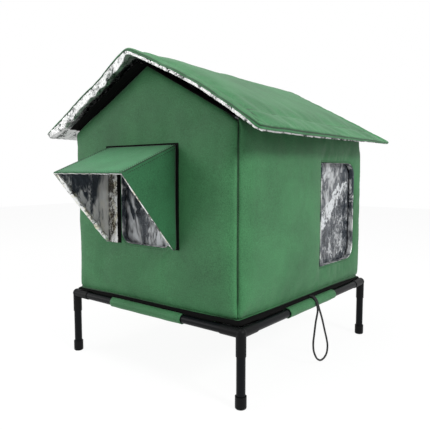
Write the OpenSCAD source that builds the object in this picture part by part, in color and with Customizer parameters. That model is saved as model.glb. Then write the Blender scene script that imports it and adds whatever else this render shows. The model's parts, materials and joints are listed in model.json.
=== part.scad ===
// Outdoor cat house: a padded cloth house with a foil lining, on a pipe stand.
// Units are millimetres, +Z is up and the front door faces -Y.
// The origin is on the ground, in the middle of the whole part's footprint.

/* [Stand] */
// Distance between the left and right leg axes
frame_w = 564; // [520:1:640]
// Distance between the front and rear leg axes
frame_d = 632; // [580:1:720]
// Height of the rail axes above the ground
rail_h = 164; // [120:1:260]
// Outside diameter of the pipes
pipe_d = 20; // [18:0.5:25]
// Wall of the pipes
pipe_wall = 2; // [1:0.1:3]
// Wall of the corner connectors' sockets
socket_wall = 1.3; // [1.2:0.1:3]
// Reach of a connector's two level sockets from the leg axis
socket_reach = 52; // [40:1:80]
// Reach of a connector's downward socket below the rail axes
socket_drop = 50; // [40:1:80]
// Distance from a connector's centre to the end of each pipe in it
pipe_stop = 15; // [13.5:0.5:20]
// How far a connector's round hub stands out past its sockets
hub_swell = 0.7; // [0.2:0.1:3]
// Height of a foot cap
cap_h = 28; // [20:1:45]
// Wall of a foot cap round the pipe
cap_wall = 2.6; // [1.5:0.1:5]
// Thickness of a foot cap under the pipe
cap_floor = 5; // [3:0.5:10]
// Rounding of a foot cap's lower edge
cap_round = 4; // [1:0.5:5]

/* [Base] */
// Thickness of the cloth under the floor and in the sleeves
sleeve_t = 2; // [1:0.1:3]
// Length of each sleeve along its rail
sleeve_len = 244; // [120:1:380]
// Place of each sleeve's middle, left or in front of its rail's middle when negative
sleeve_shift = -5; // [-40:1:40]
// Thickness of the padded floor
floor_t = 10; // [6:0.5:20]
// Thickness of the black binding round the floor
binding_t = 2; // [1:0.1:4]
// How far the binding lies behind the faces of the walls
binding_inset = 1; // [0:0.1:3]

/* [Walls] */
// Width of the house across its side walls
body_w = 550; // [500:1:600]
// Depth of the house from front to back
body_d = 630; // [570:1:700]
// Height of the side walls above the floor
wall_h = 424; // [400:1:520]
// Thickness of a padded wall
wall_t = 16; // [10:0.5:24]
// Thickness of the green outer cloth
cover_t = 1; // [0.6:0.1:2]
// Thickness of the foil lining
lining_t = 1; // [0.6:0.1:2]

/* [Front door] */
// Width of the front door
door_w = 172; // [120:1:200]
// Height of the front door
door_h = 220; // [160:1:226]
// Height of the door's sill above the floor
door_sill = 138; // [60:1:142]
// Radius of the door's corners
door_r = 30; // [5:1:50]
// Place of the door's middle, left of the house's middle when negative
door_x = -3; // [-30:1:30]

/* [Side door] */
// Width of the side door
side_w = 205; // [120:1:230]
// Height of the side door
side_h = 276; // [160:1:300]
// Height of the side door's sill above the floor
side_sill = 63; // [20:1:100]
// Radius of the side door's two rear corners
side_r = 38; // [5:1:60]
// Distance of the side door's rear edge from the rear wall's inner face
side_back = 37; // [30:1:60]

/* [Door curtains] */
// Thickness of a clear door curtain
curtain_t = 0.8; // [0.4:0.1:2]
// How far a curtain laps over the wall at its sides and top
curtain_lap = 14; // [5:1:25]
// How far a curtain laps over the wall below its door
curtain_drop = 10; // [4:1:30]
// Height of the strip that holds a curtain
curtain_strip_h = 20; // [10:1:30]
// Thickness of the strip that holds a curtain
curtain_strip_t = 2; // [1.6:0.1:4]

/* [Roof] */
// Slope of the roof
roof_pitch = 28; // [20:0.5:38]
// Thickness of the padded roof
roof_t = 16; // [10:0.5:24]
// Level reach of the roof past the side walls
eave_overhang = 76; // [30:1:110]
// Reach of the roof past the front and rear walls
gable_overhang = 43; // [25:1:80]
// How far the roof's fastening tape shows in front of a gable
roof_tape_show = 20; // [0:1:24]

/* [Awning] */
// Width of the awning
awning_w = 240; // [215:1:300]
// Place of the awning's middle, left of the house's middle when negative
awning_x = -21; // [-30:1:-6]
// Height of the awning's upper edge above the floor
awning_root_h = 377; // [370:1:390]
// Height of the awning's side cheeks along the wall
awning_h = 241; // [180:1:260]
// Reach of the awning in front of the wall
awning_reach = 160; // [80:1:220]
// Drop of the awning's top from the wall to its front edge
awning_drop = 62; // [10:1:110]
// Thickness of the awning's stiffened cloth
awning_t = 2; // [1:0.1:4]
// Width of the awning's left flange along the wall
flange_w = 35; // [10:1:36]
// Width of the awning's lower tails at the wall
tail_w = 8; // [3:1:20]

/* [Fastening tape] */
// Thickness of the hook tape, which is fixed to the walls
hook_t = 1.5; // [1:0.1:2.5]
// Thickness of the loop tape, which is fixed to the roof and the awning
loop_t = 1.5; // [1:0.1:2.5]
// Width of the tape round the front door
door_tape_w = 20; // [12:1:24]
// Distance of that tape from the door's sides
door_tape_margin = 4; // [2:1:8]
// How far that tape shows above the awning
door_tape_show = 4; // [0:1:10]

/* [Tether loop] */
// Diameter of the tether cord
cord_d = 5; // [4:0.5:5.5]
// Width of the tab that the cord is sewn to
tab_w = 15; // [12:1:24]
// Height of the tab
tab_h = 7.5; // [6:0.5:9]

/* [Hidden] */
$fn = 48;

GREEN = [0.33, 0.54, 0.40];
FOIL = [0.80, 0.81, 0.80];
FOAM = [0.93, 0.92, 0.88];
BLACK = [0.06, 0.06, 0.07];
CLEAR = [0.80, 0.86, 0.90];

// Clearances: a pipe in its socket or sleeve, two resting faces, two bodies that part
fit = 0.05;
seat_gap = 0.1;
body_gap = 0.2;
curtain_gap = 0.6;
notch_gap = 0.3;
// Length by which a cutter runs past the faces that it cuts
past = 5;

pipe_r = pipe_d / 2;
bore_r = pipe_r + fit;
socket_r = bore_r + socket_wall;
cap_r = bore_r + cap_wall;
sleeve_r = bore_r + sleeve_t;
leg_x = frame_w / 2;
leg_y = frame_d / 2;

half_w = body_w / 2;
half_d = body_d / 2;
in_w = half_w - wall_t;
in_d = half_d - wall_t;
foam_w = half_w - cover_t;
base_z = rail_h + pipe_r + seat_gap;
floor_z = base_z + sleeve_t;
wall_z = floor_z + floor_t;
slope = tan(roof_pitch);
apex_z = wall_z + wall_h + half_w * slope;

// Heights over the roof slope: the roof's tape, its underside and its top
loop_w = hook_t + body_gap;
roof_w0 = loop_w + loop_t;
roof_w1 = roof_w0 + roof_t;
// Lengths down the slope: the side wall's outer face and the eave
wall_u = half_w / cos(roof_pitch);
eave_u = (half_w + eave_overhang - roof_w1 * sin(roof_pitch)) / cos(roof_pitch);
roof_half_d = half_d + gable_overhang;
ridge_gap = 0.4;
tape_end_gap = 6;

awning_z = wall_z + awning_root_h;
awning_y0 = -half_d - hook_t - body_gap;
awning_y1 = -half_d - awning_reach;
awning_left = awning_x - awning_w / 2;
awning_right = awning_x + awning_w / 2;
awning_run = awning_y0 - awning_y1;
awning_fall = awning_drop / awning_run;
// Upright thickness of the sloping top's cloth
awning_v = awning_t * sqrt(1 + awning_fall * awning_fall);
awning_lining_v = lining_t * sqrt(1 + awning_fall * awning_fall);

door_left = door_x - door_w / 2;
door_right = door_x + door_w / 2;
door_z = wall_z + door_sill;
side_z = wall_z + side_sill;
side_y = in_d - side_back - side_w;
tape_top_z = awning_z + door_tape_show;
tape_left = door_left - door_tape_margin;
tape_right = door_right + door_tape_margin;
tape_out_right = tape_right + door_tape_w;

// The awning's front edge and the roof's rear edge lie equally far from the origin
front_reach = half_d + awning_reach;
origin_y = (front_reach - roof_half_d) / 2;

// Route of the tether cord, from the tab over the sleeve, down in a loop and back
TAB_REACH = 4;
CORD_SIDES = 10;
CORD_REF = [1, 1, 0];
CORD_ROUTE = [
    [278, -6, 181], [283, -6, 181], [289, -6, 179], [294, -6, 174], [297, -5, 167],
    [298, -2, 157], [298, 1, 148], [298, 0, 139], [298, -4, 129], [298, -8, 119],
    [298, -11, 108], [298, -14, 95], [298, -17, 82], [298, -20, 69], [298, -20, 56],
    [298, -17, 43], [298, -10, 31], [298, -1, 20], [298, 10, 12], [298, 22, 7],
    [298, 35, 6], [298, 48, 9], [298, 58, 16], [298, 62, 27], [298, 62, 39],
    [298, 58, 51], [298, 53, 63], [298, 47, 75], [298, 41, 88], [298, 35, 101],
    [298, 29, 114], [298, 22, 127], [298, 15, 139], [298, 9, 149], [298, 4, 158],
    [297, 1, 167], [294, 0, 174], [289, 0, 179], [283, 0, 181], [278, 0, 181]
];
TAB_X = CORD_ROUTE[0][0];
TAB_Y = (CORD_ROUTE[0][1] + CORD_ROUTE[len(CORD_ROUTE) - 1][1]) / 2;
TAB_Z = CORD_ROUTE[0][2];

// Places a shape that is drawn round the stand's middle
module placed() translate([0, origin_y, 0]) children();

// A profile in X and Z, from y0 backwards by depth
module slab(y0, depth) translate([0, y0 + depth, 0]) rotate([90, 0, 0]) linear_extrude(depth) children();

// A profile in Y and Z, from x0 to the right by depth
module side_slab(x0, depth) translate([x0, 0, 0]) rotate([90, 0, 90]) linear_extrude(depth) children();

module mirror_x(side) mirror([side < 0 ? 1 : 0, 0, 0]) children();

module mirror_y(end) mirror([0, end < 0 ? 1 : 0, 0]) children();

module rounded_square(w, h, r) {
    square([w - 2 * r, h], center = true);
    square([w, h - 2 * r], center = true);
    for (x = [-1, 1], z = [-1, 1]) translate([x * (w / 2 - r), z * (h / 2 - r)]) circle(r);
}

// Stand

module leg(side, end) {
    color(BLACK) translate([side * leg_x, end * leg_y, cap_floor]) difference() {
        cylinder(r = pipe_r, h = rail_h - pipe_stop - cap_floor);
        translate([0, 0, -past]) cylinder(r = pipe_r - pipe_wall, h = rail_h + past);
    }
}

module rail_pipe(length) {
    color(BLACK) rotate([0, 90, 0]) difference() {
        cylinder(r = pipe_r, h = length, center = true);
        cylinder(r = pipe_r - pipe_wall, h = length + past, center = true);
    }
}

module cross_rail(end) translate([0, end * leg_y, rail_h]) rail_pipe(frame_w - 2 * pipe_stop);

module long_rail(side) translate([side * leg_x, 0, rail_h]) rotate([0, 0, 90]) rail_pipe(frame_d - 2 * pipe_stop);

// Points one of a connector's sockets along X, Y or down
module each_arm() {
    rotate([0, 90, 0]) children(0);
    rotate([-90, 0, 0]) children(0);
    rotate([180, 0, 0]) children(1);
}

module connector(side, end) {
    color(BLACK) translate([side * leg_x, end * leg_y, rail_h]) mirror_x(-side) mirror_y(-end) difference() {
        union() {
            sphere(r = socket_r + hub_swell);
            each_arm() {
                cylinder(r = socket_r, h = socket_reach);
                cylinder(r = socket_r, h = socket_drop);
            }
        }
        each_arm() {
            translate([0, 0, pipe_stop]) cylinder(r = bore_r, h = socket_reach);
            translate([0, 0, pipe_stop]) cylinder(r = bore_r, h = socket_drop);
        }
    }
}

module foot_cap(side, end) {
    color(BLACK) translate([side * leg_x, end * leg_y, 0]) rotate_extrude() difference() {
        union() {
            translate([0, cap_round]) square([cap_r, cap_h - cap_round]);
            square([cap_r - cap_round, cap_h]);
            translate([cap_r - cap_round, cap_round]) circle(cap_round);
        }
        translate([0, cap_floor]) square([bore_r, cap_h]);
    }
}

// Base: cloth under the floor, with a sleeve round each rail

module base_cloth() {
    color(GREEN) difference() {
        union() {
            translate([-foam_w, -half_d + cover_t, base_z])
                cube([2 * foam_w, body_d - 2 * cover_t, sleeve_t]);
            sleeve_rows() sleeve_shape();
        }
        sleeve_rows() rotate([0, 90, 0]) cylinder(r = bore_r, h = sleeve_len + past, center = true);
        for (side = [-1, 1], end = [-1, 1]) translate([side * leg_x, end * leg_y, base_z]) corner_notch();
    }
}

// Clears a connector's level sockets
module corner_notch() {
    reach = 2 * (socket_reach + notch_gap);
    width = 2 * (socket_r + hub_swell + notch_gap);
    cube([reach, width, 2 * past], center = true);
    cube([width, reach, 2 * past], center = true);
}

// Puts a shape along each rail, with its +Y side towards the house
module sleeve_rows() {
    translate([sleeve_shift, -leg_y, rail_h]) children();
    translate([sleeve_shift, leg_y, rail_h]) mirror([0, 1, 0]) children();
    translate([leg_x, sleeve_shift, rail_h]) rotate([0, 0, 90]) children();
    translate([-leg_x, sleeve_shift, rail_h]) mirror([1, 0, 0]) rotate([0, 0, 90]) children();
}

module sleeve_shape() {
    rotate([0, 90, 0]) cylinder(r = sleeve_r, h = sleeve_len, center = true);
    translate([-sleeve_len / 2, 0, base_z - rail_h]) cube([sleeve_len, 2 * pipe_r, sleeve_t]);
}

module floor_block(inset, z0, z1) {
    translate([inset - half_w, inset - half_d, z0]) cube([body_w - 2 * inset, body_d - 2 * inset, z1 - z0]);
}

module floor_binding() {
    color(BLACK) difference() {
        floor_block(binding_inset, floor_z, wall_z);
        floor_block(binding_inset + binding_t, floor_z - past, wall_z + past);
    }
}

module floor_foam() color(FOAM) floor_block(binding_inset + binding_t, floor_z, wall_z);

module floor_lining() color(FOIL) floor_block(wall_t, wall_z, wall_z + lining_t);

// Walls: outer cloth, foam and foil lining

module gable_profile(half) {
    edge_z = apex_z - half * slope;
    polygon([[-half, wall_z], [half, wall_z], [half, edge_z], [0, apex_z], [-half, edge_z]]);
}

module door_profile(grow) {
    translate([door_x, door_z + door_h / 2])
        rounded_square(door_w + 2 * grow, door_h + 2 * grow, door_r + grow);
}

module door_cut(grow) slab(-half_d - past, wall_t + 2 * past) door_profile(grow);

// The side door has square front corners and round rear ones
module side_profile(grow) {
    r = side_r + grow;
    w = side_w + 2 * grow;
    h = side_h + 2 * grow;
    translate([side_y - grow, side_z - grow]) {
        square([w - r, h]);
        translate([0, r]) square([w, h - 2 * r]);
        for (z = [r, h - r]) translate([w - r, z]) circle(r);
    }
}

module side_cut(grow) side_slab(in_w - past, wall_t + 2 * past) side_profile(grow);

module end_wall_cover() {
    difference() {
        slab(-half_d, wall_t) gable_profile(half_w);
        translate([-foam_w, -half_d + cover_t, wall_z - past])
            cube([2 * foam_w, wall_t + past, apex_z]);
    }
}

module end_wall_foam() slab(-half_d + cover_t, wall_t - cover_t - lining_t) gable_profile(foam_w);

module end_wall_lining() slab(-in_d - lining_t, lining_t) gable_profile(foam_w);

module front_wall_cover() color(GREEN) difference() {
    end_wall_cover();
    door_cut(lining_t);
}

module front_wall_foam() color(FOAM) difference() {
    end_wall_foam();
    door_cut(lining_t);
}

module front_wall_lining() color(FOIL) difference() {
    union() {
        end_wall_lining();
        slab(-half_d, wall_t) door_profile(lining_t);
    }
    door_cut(0);
}

module rear_wall_cover() color(GREEN) mirror([0, 1, 0]) end_wall_cover();

module rear_wall_foam() color(FOAM) mirror([0, 1, 0]) end_wall_foam();

module rear_wall_lining() color(FOIL) mirror([0, 1, 0]) end_wall_lining();

// One layer of the right wall, between two distances from the middle
module side_layer(x0, x1) {
    slab(-in_d, 2 * in_d) polygon([
        [x0, wall_z], [x1, wall_z], [x1, apex_z - x1 * slope], [x0, apex_z - x0 * slope]
    ]);
}

module right_wall_cover() color(GREEN) difference() {
    side_layer(foam_w, half_w);
    side_cut(lining_t);
}

module right_wall_foam() color(FOAM) difference() {
    side_layer(in_w + lining_t, foam_w);
    side_cut(lining_t);
}

module right_wall_lining() color(FOIL) difference() {
    union() {
        side_layer(in_w, in_w + lining_t);
        side_slab(in_w, wall_t) side_profile(lining_t);
    }
    side_cut(0);
}

module left_wall_cover() color(GREEN) mirror([1, 0, 0]) side_layer(foam_w, half_w);

module left_wall_foam() color(FOAM) mirror([1, 0, 0]) side_layer(in_w + lining_t, foam_w);

module left_wall_lining() color(FOIL) mirror([1, 0, 0]) side_layer(in_w, in_w + lining_t);

// Door curtains: a clear sheet that hangs inside each door from a fixed strip

module front_curtain() {
    color(CLEAR) translate([door_left - curtain_lap, -in_d + body_gap, door_z - curtain_drop])
        cube([door_w + 2 * curtain_lap, curtain_t, door_h + curtain_drop + curtain_lap]);
}

module front_curtain_strip() {
    color(BLACK) translate([door_left - curtain_lap, -in_d, door_z + door_h + curtain_lap + curtain_gap])
        cube([door_w + 2 * curtain_lap, curtain_strip_t, curtain_strip_h]);
}

module side_curtain() {
    color(CLEAR) translate([in_w - body_gap - curtain_t, side_y - curtain_lap, side_z - curtain_drop])
        cube([curtain_t, side_w + 2 * curtain_lap, side_h + curtain_drop + curtain_lap]);
}

module side_curtain_strip() {
    color(BLACK)
        translate([in_w - curtain_strip_t, side_y - curtain_lap, side_z + side_h + curtain_lap + curtain_gap])
        cube([curtain_strip_t, side_w + 2 * curtain_lap, curtain_strip_h]);
}

// Roof: two padded slopes that meet at the ridge

// X runs down the slope from the gable's apex, Z stands square to it
module on_slope(side) mirror_x(side) translate([0, 0, apex_z]) rotate([0, roof_pitch, 0]) children();

function ridge_u(w) = (ridge_gap / 2 - w * sin(roof_pitch)) / cos(roof_pitch);

module roof_slab(side, w0, w1, edge) {
    end_u = eave_u - edge;
    on_slope(side) slab(edge - roof_half_d, 2 * (roof_half_d - edge))
        polygon([[ridge_u(w0), w0], [end_u, w0], [end_u, w1], [ridge_u(w1), w1]]);
}

module roof_cover(side) color(GREEN) roof_slab(side, roof_w1 - cover_t, roof_w1, 0);

module roof_foam(side) color(FOAM) roof_slab(side, roof_w0 + lining_t, roof_w1 - cover_t, lining_t);

// The lining is a tray: foil underneath and up the front, rear and eave edges
module roof_lining(side) {
    tray_d = roof_half_d - lining_t;
    color(FOIL) difference() {
        roof_slab(side, roof_w0, roof_w1 - cover_t, 0);
        on_slope(side) translate([-roof_t, -tray_d, roof_w0 + lining_t])
            cube([roof_t + eave_u - lining_t, 2 * tray_d, roof_t]);
    }
}

// Two strips of tape down a slope, at the front and the rear gable
module slope_tapes(side, w0, thick, y_in, y_out) {
    for (end = [-1, 1]) on_slope(side) mirror_y(end) translate([tape_end_gap, y_in, w0])
        cube([wall_u - 2 * tape_end_gap, y_out - y_in, thick]);
}

module gable_hook_tape() color(BLACK) for (side = [-1, 1]) slope_tapes(side, 0, hook_t, in_d, half_d);

module roof_tape(side) color(BLACK) slope_tapes(side, loop_w, loop_t, in_d, half_d + roof_tape_show);

// Tape round the front door, which holds the awning

module door_hook_tape() {
    low_z = awning_z - awning_h;
    color(BLACK) slab(-half_d - hook_t, hook_t) {
        translate([awning_left - door_tape_show, tape_top_z - door_tape_w])
            square([tape_out_right - awning_left + door_tape_show, door_tape_w]);
        translate([tape_right, low_z]) square([door_tape_w, tape_top_z - low_z]);
        translate([tape_left - door_tape_w, low_z]) square([door_tape_w, tape_top_z - low_z]);
    }
}

// Awning: a stiffened top and two cheeks, with a foil lining and foil flanges

// Height of the awning's upper face at a given Y
function awning_top_z(y) = awning_z - (awning_y0 - y) * awning_fall;

module awning_sheet(x0, x1, low, high) {
    side_slab(x0, x1 - x0) polygon([
        [awning_y0, awning_top_z(awning_y0) - high], [awning_y1, awning_top_z(awning_y1) - high],
        [awning_y1, awning_top_z(awning_y1) - low], [awning_y0, awning_top_z(awning_y0) - low]
    ]);
}

module awning_cheek(x0, x1) {
    side_slab(x0, x1 - x0) polygon([
        [awning_y0, awning_top_z(awning_y0) - awning_v],
        [awning_y1, awning_top_z(awning_y1) - awning_v],
        [awning_y1, awning_top_z(awning_y1) - awning_v - awning_lining_v],
        [awning_y0 - tail_w, awning_z - awning_h],
        [awning_y0, awning_z - awning_h]
    ]);
}

module awning_top() color(GREEN) awning_sheet(awning_left, awning_right, awning_v, 0);

module awning_cheek_left() color(GREEN) awning_cheek(awning_left, awning_left + awning_t);

module awning_cheek_right() color(GREEN) awning_cheek(awning_right - awning_t, awning_right);

module awning_lining() {
    x0 = awning_left + awning_t;
    x1 = awning_right - awning_t;
    color(FOIL) union() {
        awning_sheet(x0, x1, awning_v + awning_lining_v, awning_v);
        awning_cheek(x0, x0 + lining_t);
        awning_cheek(x1 - lining_t, x1);
    }
}

// Turned-in edges along the wall, which carry the awning's loop tape
module awning_flanges() {
    x0 = awning_left + awning_t + lining_t;
    x1 = awning_right - awning_t - lining_t;
    low_z = awning_z - awning_h;
    high_z = awning_z - awning_v - awning_lining_v - loop_t;
    color(FOIL) slab(awning_y0 - loop_t, loop_t) {
        translate([x0, low_z]) square([flange_w, high_z - low_z]);
        translate([tape_right - binding_t, low_z]) square([x1 - tape_right + binding_t, high_z - low_z]);
        translate([x0, high_z - door_tape_w]) square([x1 - x0, door_tape_w]);
    }
}

// Tether: a tab on the floor's binding and a loop of cord

module tether_tab() {
    color(BLACK) translate([TAB_X - TAB_REACH, TAB_Y - tab_w / 2, TAB_Z - tab_h / 2])
        cube([TAB_REACH, tab_w, tab_h]);
}

function unit(v) = v / norm(v);

// Direction of a route at point i
function heading(route, i) = unit(route[min(i + 1, len(route) - 1)] - route[max(i - 1, 0)]);

function cord_ring(route, i, r, sides) =
    let (t = heading(route, i), a = unit(cross(t, CORD_REF)), b = cross(t, a))
    [for (k = [0 : sides - 1]) route[i] + r * (cos(360 * k / sides) * a + sin(360 * k / sides) * b)];

module cord_tube(route, d, sides) {
    last = len(route) - 1;
    points = [for (i = [0 : last]) each cord_ring(route, i, d / 2, sides)];
    walls = [for (i = [0 : last - 1], k = [0 : sides - 1])
        let (p = i * sides + k, q = i * sides + (k + 1) % sides)
        each [[p, q, q + sides], [p, q + sides, p + sides]]];
    start = [for (k = [1 : sides - 2]) [0, k + 1, k]];
    finish = [for (k = [1 : sides - 2]) [0, k, k + 1] + [1, 1, 1] * last * sides];
    polyhedron(points, concat(walls, start, finish));
}

module tether_loop() color(BLACK) cord_tube(CORD_ROUTE, cord_d, CORD_SIDES);

placed() leg(-1, -1);  // leg_front_left
placed() leg(1, -1);  // leg_front_right
placed() leg(-1, 1);  // leg_rear_left
placed() leg(1, 1);  // leg_rear_right
placed() cross_rail(-1);  // rail_front
placed() cross_rail(1);  // rail_rear
placed() long_rail(-1);  // rail_left
placed() long_rail(1);  // rail_right
placed() connector(-1, -1);  // connector_front_left
placed() connector(1, -1);  // connector_front_right
placed() connector(-1, 1);  // connector_rear_left
placed() connector(1, 1);  // connector_rear_right
placed() foot_cap(-1, -1);  // foot_cap_front_left
placed() foot_cap(1, -1);  // foot_cap_front_right
placed() foot_cap(-1, 1);  // foot_cap_rear_left
placed() foot_cap(1, 1);  // foot_cap_rear_right
placed() base_cloth();
placed() floor_binding();
placed() floor_foam();
placed() floor_lining();
placed() front_wall_cover();
placed() front_wall_foam();
placed() front_wall_lining();
placed() rear_wall_cover();
placed() rear_wall_foam();
placed() rear_wall_lining();
placed() left_wall_cover();
placed() left_wall_foam();
placed() left_wall_lining();
placed() right_wall_cover();
placed() right_wall_foam();
placed() right_wall_lining();
placed() gable_hook_tape();
placed() door_hook_tape();
placed() front_curtain();
placed() front_curtain_strip();
placed() side_curtain();
placed() side_curtain_strip();
placed() roof_cover(-1);  // roof_left_cover
placed() roof_foam(-1);  // roof_left_foam
placed() roof_lining(-1);  // roof_left_lining
placed() roof_tape(-1);  // roof_left_tape
placed() roof_cover(1);  // roof_right_cover
placed() roof_foam(1);  // roof_right_foam
placed() roof_lining(1);  // roof_right_lining
placed() roof_tape(1);  // roof_right_tape
placed() awning_top();
placed() awning_cheek_left();
placed() awning_cheek_right();
placed() awning_lining();
placed() awning_flanges();
placed() tether_tab();
placed() tether_loop();
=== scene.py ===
"""Looks of a padded outdoor cat house: cloth, foil, clear film, tape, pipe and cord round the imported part."""

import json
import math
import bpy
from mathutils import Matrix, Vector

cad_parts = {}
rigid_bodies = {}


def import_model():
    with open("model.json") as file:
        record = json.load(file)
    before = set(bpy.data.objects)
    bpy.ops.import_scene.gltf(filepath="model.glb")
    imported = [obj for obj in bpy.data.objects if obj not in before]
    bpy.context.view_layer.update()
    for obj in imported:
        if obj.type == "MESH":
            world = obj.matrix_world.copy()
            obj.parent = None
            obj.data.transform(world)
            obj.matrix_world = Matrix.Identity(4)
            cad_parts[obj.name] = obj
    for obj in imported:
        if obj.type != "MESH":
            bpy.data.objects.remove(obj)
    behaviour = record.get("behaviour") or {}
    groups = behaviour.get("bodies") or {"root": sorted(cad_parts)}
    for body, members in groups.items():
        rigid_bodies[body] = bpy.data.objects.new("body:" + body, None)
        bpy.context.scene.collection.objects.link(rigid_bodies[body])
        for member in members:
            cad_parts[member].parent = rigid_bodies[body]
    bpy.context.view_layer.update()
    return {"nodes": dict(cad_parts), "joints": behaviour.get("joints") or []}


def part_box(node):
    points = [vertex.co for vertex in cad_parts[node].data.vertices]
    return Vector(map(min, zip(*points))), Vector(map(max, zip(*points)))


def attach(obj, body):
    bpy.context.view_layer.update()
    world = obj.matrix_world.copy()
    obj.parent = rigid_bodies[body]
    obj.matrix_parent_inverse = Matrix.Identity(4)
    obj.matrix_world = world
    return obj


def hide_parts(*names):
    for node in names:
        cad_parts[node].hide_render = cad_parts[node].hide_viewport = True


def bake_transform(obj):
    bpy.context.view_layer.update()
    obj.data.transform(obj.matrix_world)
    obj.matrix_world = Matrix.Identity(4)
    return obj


bl_info = {
    "name": "Outdoor Cat House",
    "version": (1, 0, 0),
    "blender": (4, 5, 0),
    "location": "View3D > Sidebar > Cat House",
    "description": "Dresses a padded, foil-lined cat house on a pipe stand",
    "category": "Object",
}

import bmesh
import bpy
import numpy as np
from bpy.props import FloatProperty, FloatVectorProperty, IntProperty, PointerProperty
from bpy.types import Operator, Panel, PropertyGroup
from mathutils import Vector, noise
from mathutils.bvhtree import BVHTree
from mathutils.geometry import delaunay_2d_cdt

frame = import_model()
MM = 0.001

# ---- Places that the frame gives ----

JOINTS = {joint["name"]: joint for joint in frame["joints"]}
WALL_LOW, WALL_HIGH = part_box("front_wall_cover")
REAR_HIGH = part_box("rear_wall_cover")[1]
SIDE_LOW, SIDE_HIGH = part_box("right_wall_cover")
ROOF_LOW, ROOF_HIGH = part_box("roof_right_cover")
HALF_W = WALL_HIGH.x
WALL_T = WALL_HIGH.y - WALL_LOW.y
FRONT_Y, REAR_Y = WALL_LOW.y, REAR_HIGH.y
MID_Y = (FRONT_Y + REAR_Y) / 2
HALF_D = (REAR_Y - FRONT_Y) / 2
FLOOR_Z, APEX_Z = WALL_LOW.z, WALL_HIGH.z
SLOPE = (APEX_Z - SIDE_HIGH.z) / SIDE_LOW.x
PITCH = math.atan(SLOPE)
RIDGE_Z = JOINTS["roof_fold"]["pos_m"][2]
ROOF_END = ROOF_HIGH.x / math.cos(PITCH)
ROOF_HALF_D = (ROOF_HIGH.y - ROOF_LOW.y) / 2

# ---- Sizes that only the looks use ----

CURTAIN_LAP = 14 * MM
CURTAIN_DROP = 10 * MM
FRONT_DOOR_R = 30 * MM
SIDE_DOOR_R = 38 * MM
FOIL_T = 1 * MM
ROOF_T = 16 * MM
SEAM_REACH = 12 * MM
SEAM_FLANK = 9 * MM
BAND_REACH = 40 * MM


def door_box(curtain, axis):
    """Low and high corner of the doorway behind a clear curtain, along one level axis and Z."""
    low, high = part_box(curtain)
    return (low[axis] + CURTAIN_LAP, low.z + CURTAIN_DROP), (high[axis] - CURTAIN_LAP, high.z - CURTAIN_LAP)


FRONT_DOOR = door_box("front_curtain", 0)
SIDE_DOOR = door_box("side_curtain", 1)


# ---- Settings ----


def length_property(name, description, default, low=0.0):
    return FloatProperty(name=name, description=description, default=default, min=low, unit="LENGTH", precision=5)


def colour_property(name, description, default):
    return FloatVectorProperty(name=name, description=description, default=default, size=3, subtype="COLOR",
                               min=0.0, max=1.0)


class CatHouseLooks(PropertyGroup):
    """Sizes and colours that change how the house looks"""

    cloth_colour: colour_property("Cloth", "Colour of the green outer cloth", (0.054, 0.212, 0.083))
    thread_colour: colour_property("Thread", "Colour of the sewing thread", (0.012, 0.055, 0.020))
    # The two foil colours are the ends of the foil's painted greys: painted highlights and reflections, and painted
    # shade in its creases
    foil_light: colour_property("Foil, light", "Foil where it faces the light", (0.93, 0.94, 0.93))
    foil_dark: colour_property("Foil, dark", "Foil in its creases", (0.075, 0.090, 0.110))
    pipe_colour: colour_property("Pipe", "Colour of the pipes", (0.0035, 0.0045, 0.0060))
    fitting_colour: colour_property("Fittings", "Colour of the connectors and caps", (0.0050, 0.0054, 0.0060))
    tape_colour: colour_property("Tape", "Colour of the fastening tape", (0.0035, 0.0035, 0.0035))
    film_colour: colour_property("Film", "Haze of the clear door curtains", (0.62, 0.64, 0.66))
    cord_colour: colour_property("Cord", "Colour of the tether loop", (0.014, 0.014, 0.015))
    edge_round: length_property("Edge rounding", "Width of the rounding at a wall's edges", 22 * MM, 1 * MM)
    wall_puff: length_property("Wall puff", "Most that a wall's cloth swells", 9 * MM)
    roof_puff: length_property("Roof puff", "Most that the roof's cloth swells", 13 * MM)
    crumple: length_property("Foil crumple", "Depth of the creases in the foil", 1.8 * MM)
    stitch_pitch: length_property("Stitch pitch", "Distance from stitch to stitch", 6 * MM, 1 * MM)
    stitch_length: length_property("Stitch length", "Length of one stitch", 4 * MM, 0.5 * MM)
    stitch_radius: length_property("Stitch radius", "Half the thickness of the thread", 0.85 * MM, 0.1 * MM)
    cord_sides: IntProperty(name="Cord sides", description="Sides of the cord's tube", default=12, min=6, max=24)


def looks():
    return bpy.context.scene.cat_house


# ---- Mesh helpers ----


def add_object(name, data):
    """Makes an object with some data and links it to the scene."""
    obj = bpy.data.objects.new(name, data)
    bpy.context.scene.collection.objects.link(obj)
    return obj


def new_object(name, vertices, faces):
    mesh = bpy.data.meshes.new(name)
    mesh.from_pydata([tuple(v) for v in vertices], [], [tuple(f) for f in faces])
    mesh.update()
    mesh.shade_smooth()
    return add_object(name, mesh)


def quads(under, over, closed=True):
    """Faces between two rows with the same number of points."""
    count = len(under)
    pairs = [(i, (i + 1) % count) for i in range(count if closed else count - 1)]
    return [(under[i], under[j], over[j], over[i]) for i, j in pairs]


def grid_faces(rows, width, closed=False):
    """Faces of a grid whose points go row by row. closed joins the two ends of each row."""
    lines = [range(row * width, (row + 1) * width) for row in range(rows)]
    return [face for under, over in zip(lines, lines[1:]) for face in quads(under, over, closed)]


def outward(obj):
    """Turns the faces of a closed mesh outwards."""
    bm = bmesh.new()
    bm.from_mesh(obj.data)
    bmesh.ops.recalc_face_normals(bm, faces=bm.faces)
    bm.to_mesh(obj.data)
    bm.free()
    return obj


def coordinates(obj):
    co = np.zeros(len(obj.data.vertices) * 3)
    obj.data.vertices.foreach_get("co", co)
    return co.reshape(-1, 3)


def set_coordinates(obj, co):
    obj.data.vertices.foreach_set("co", np.asarray(co, float).ravel())
    obj.data.update()


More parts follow.
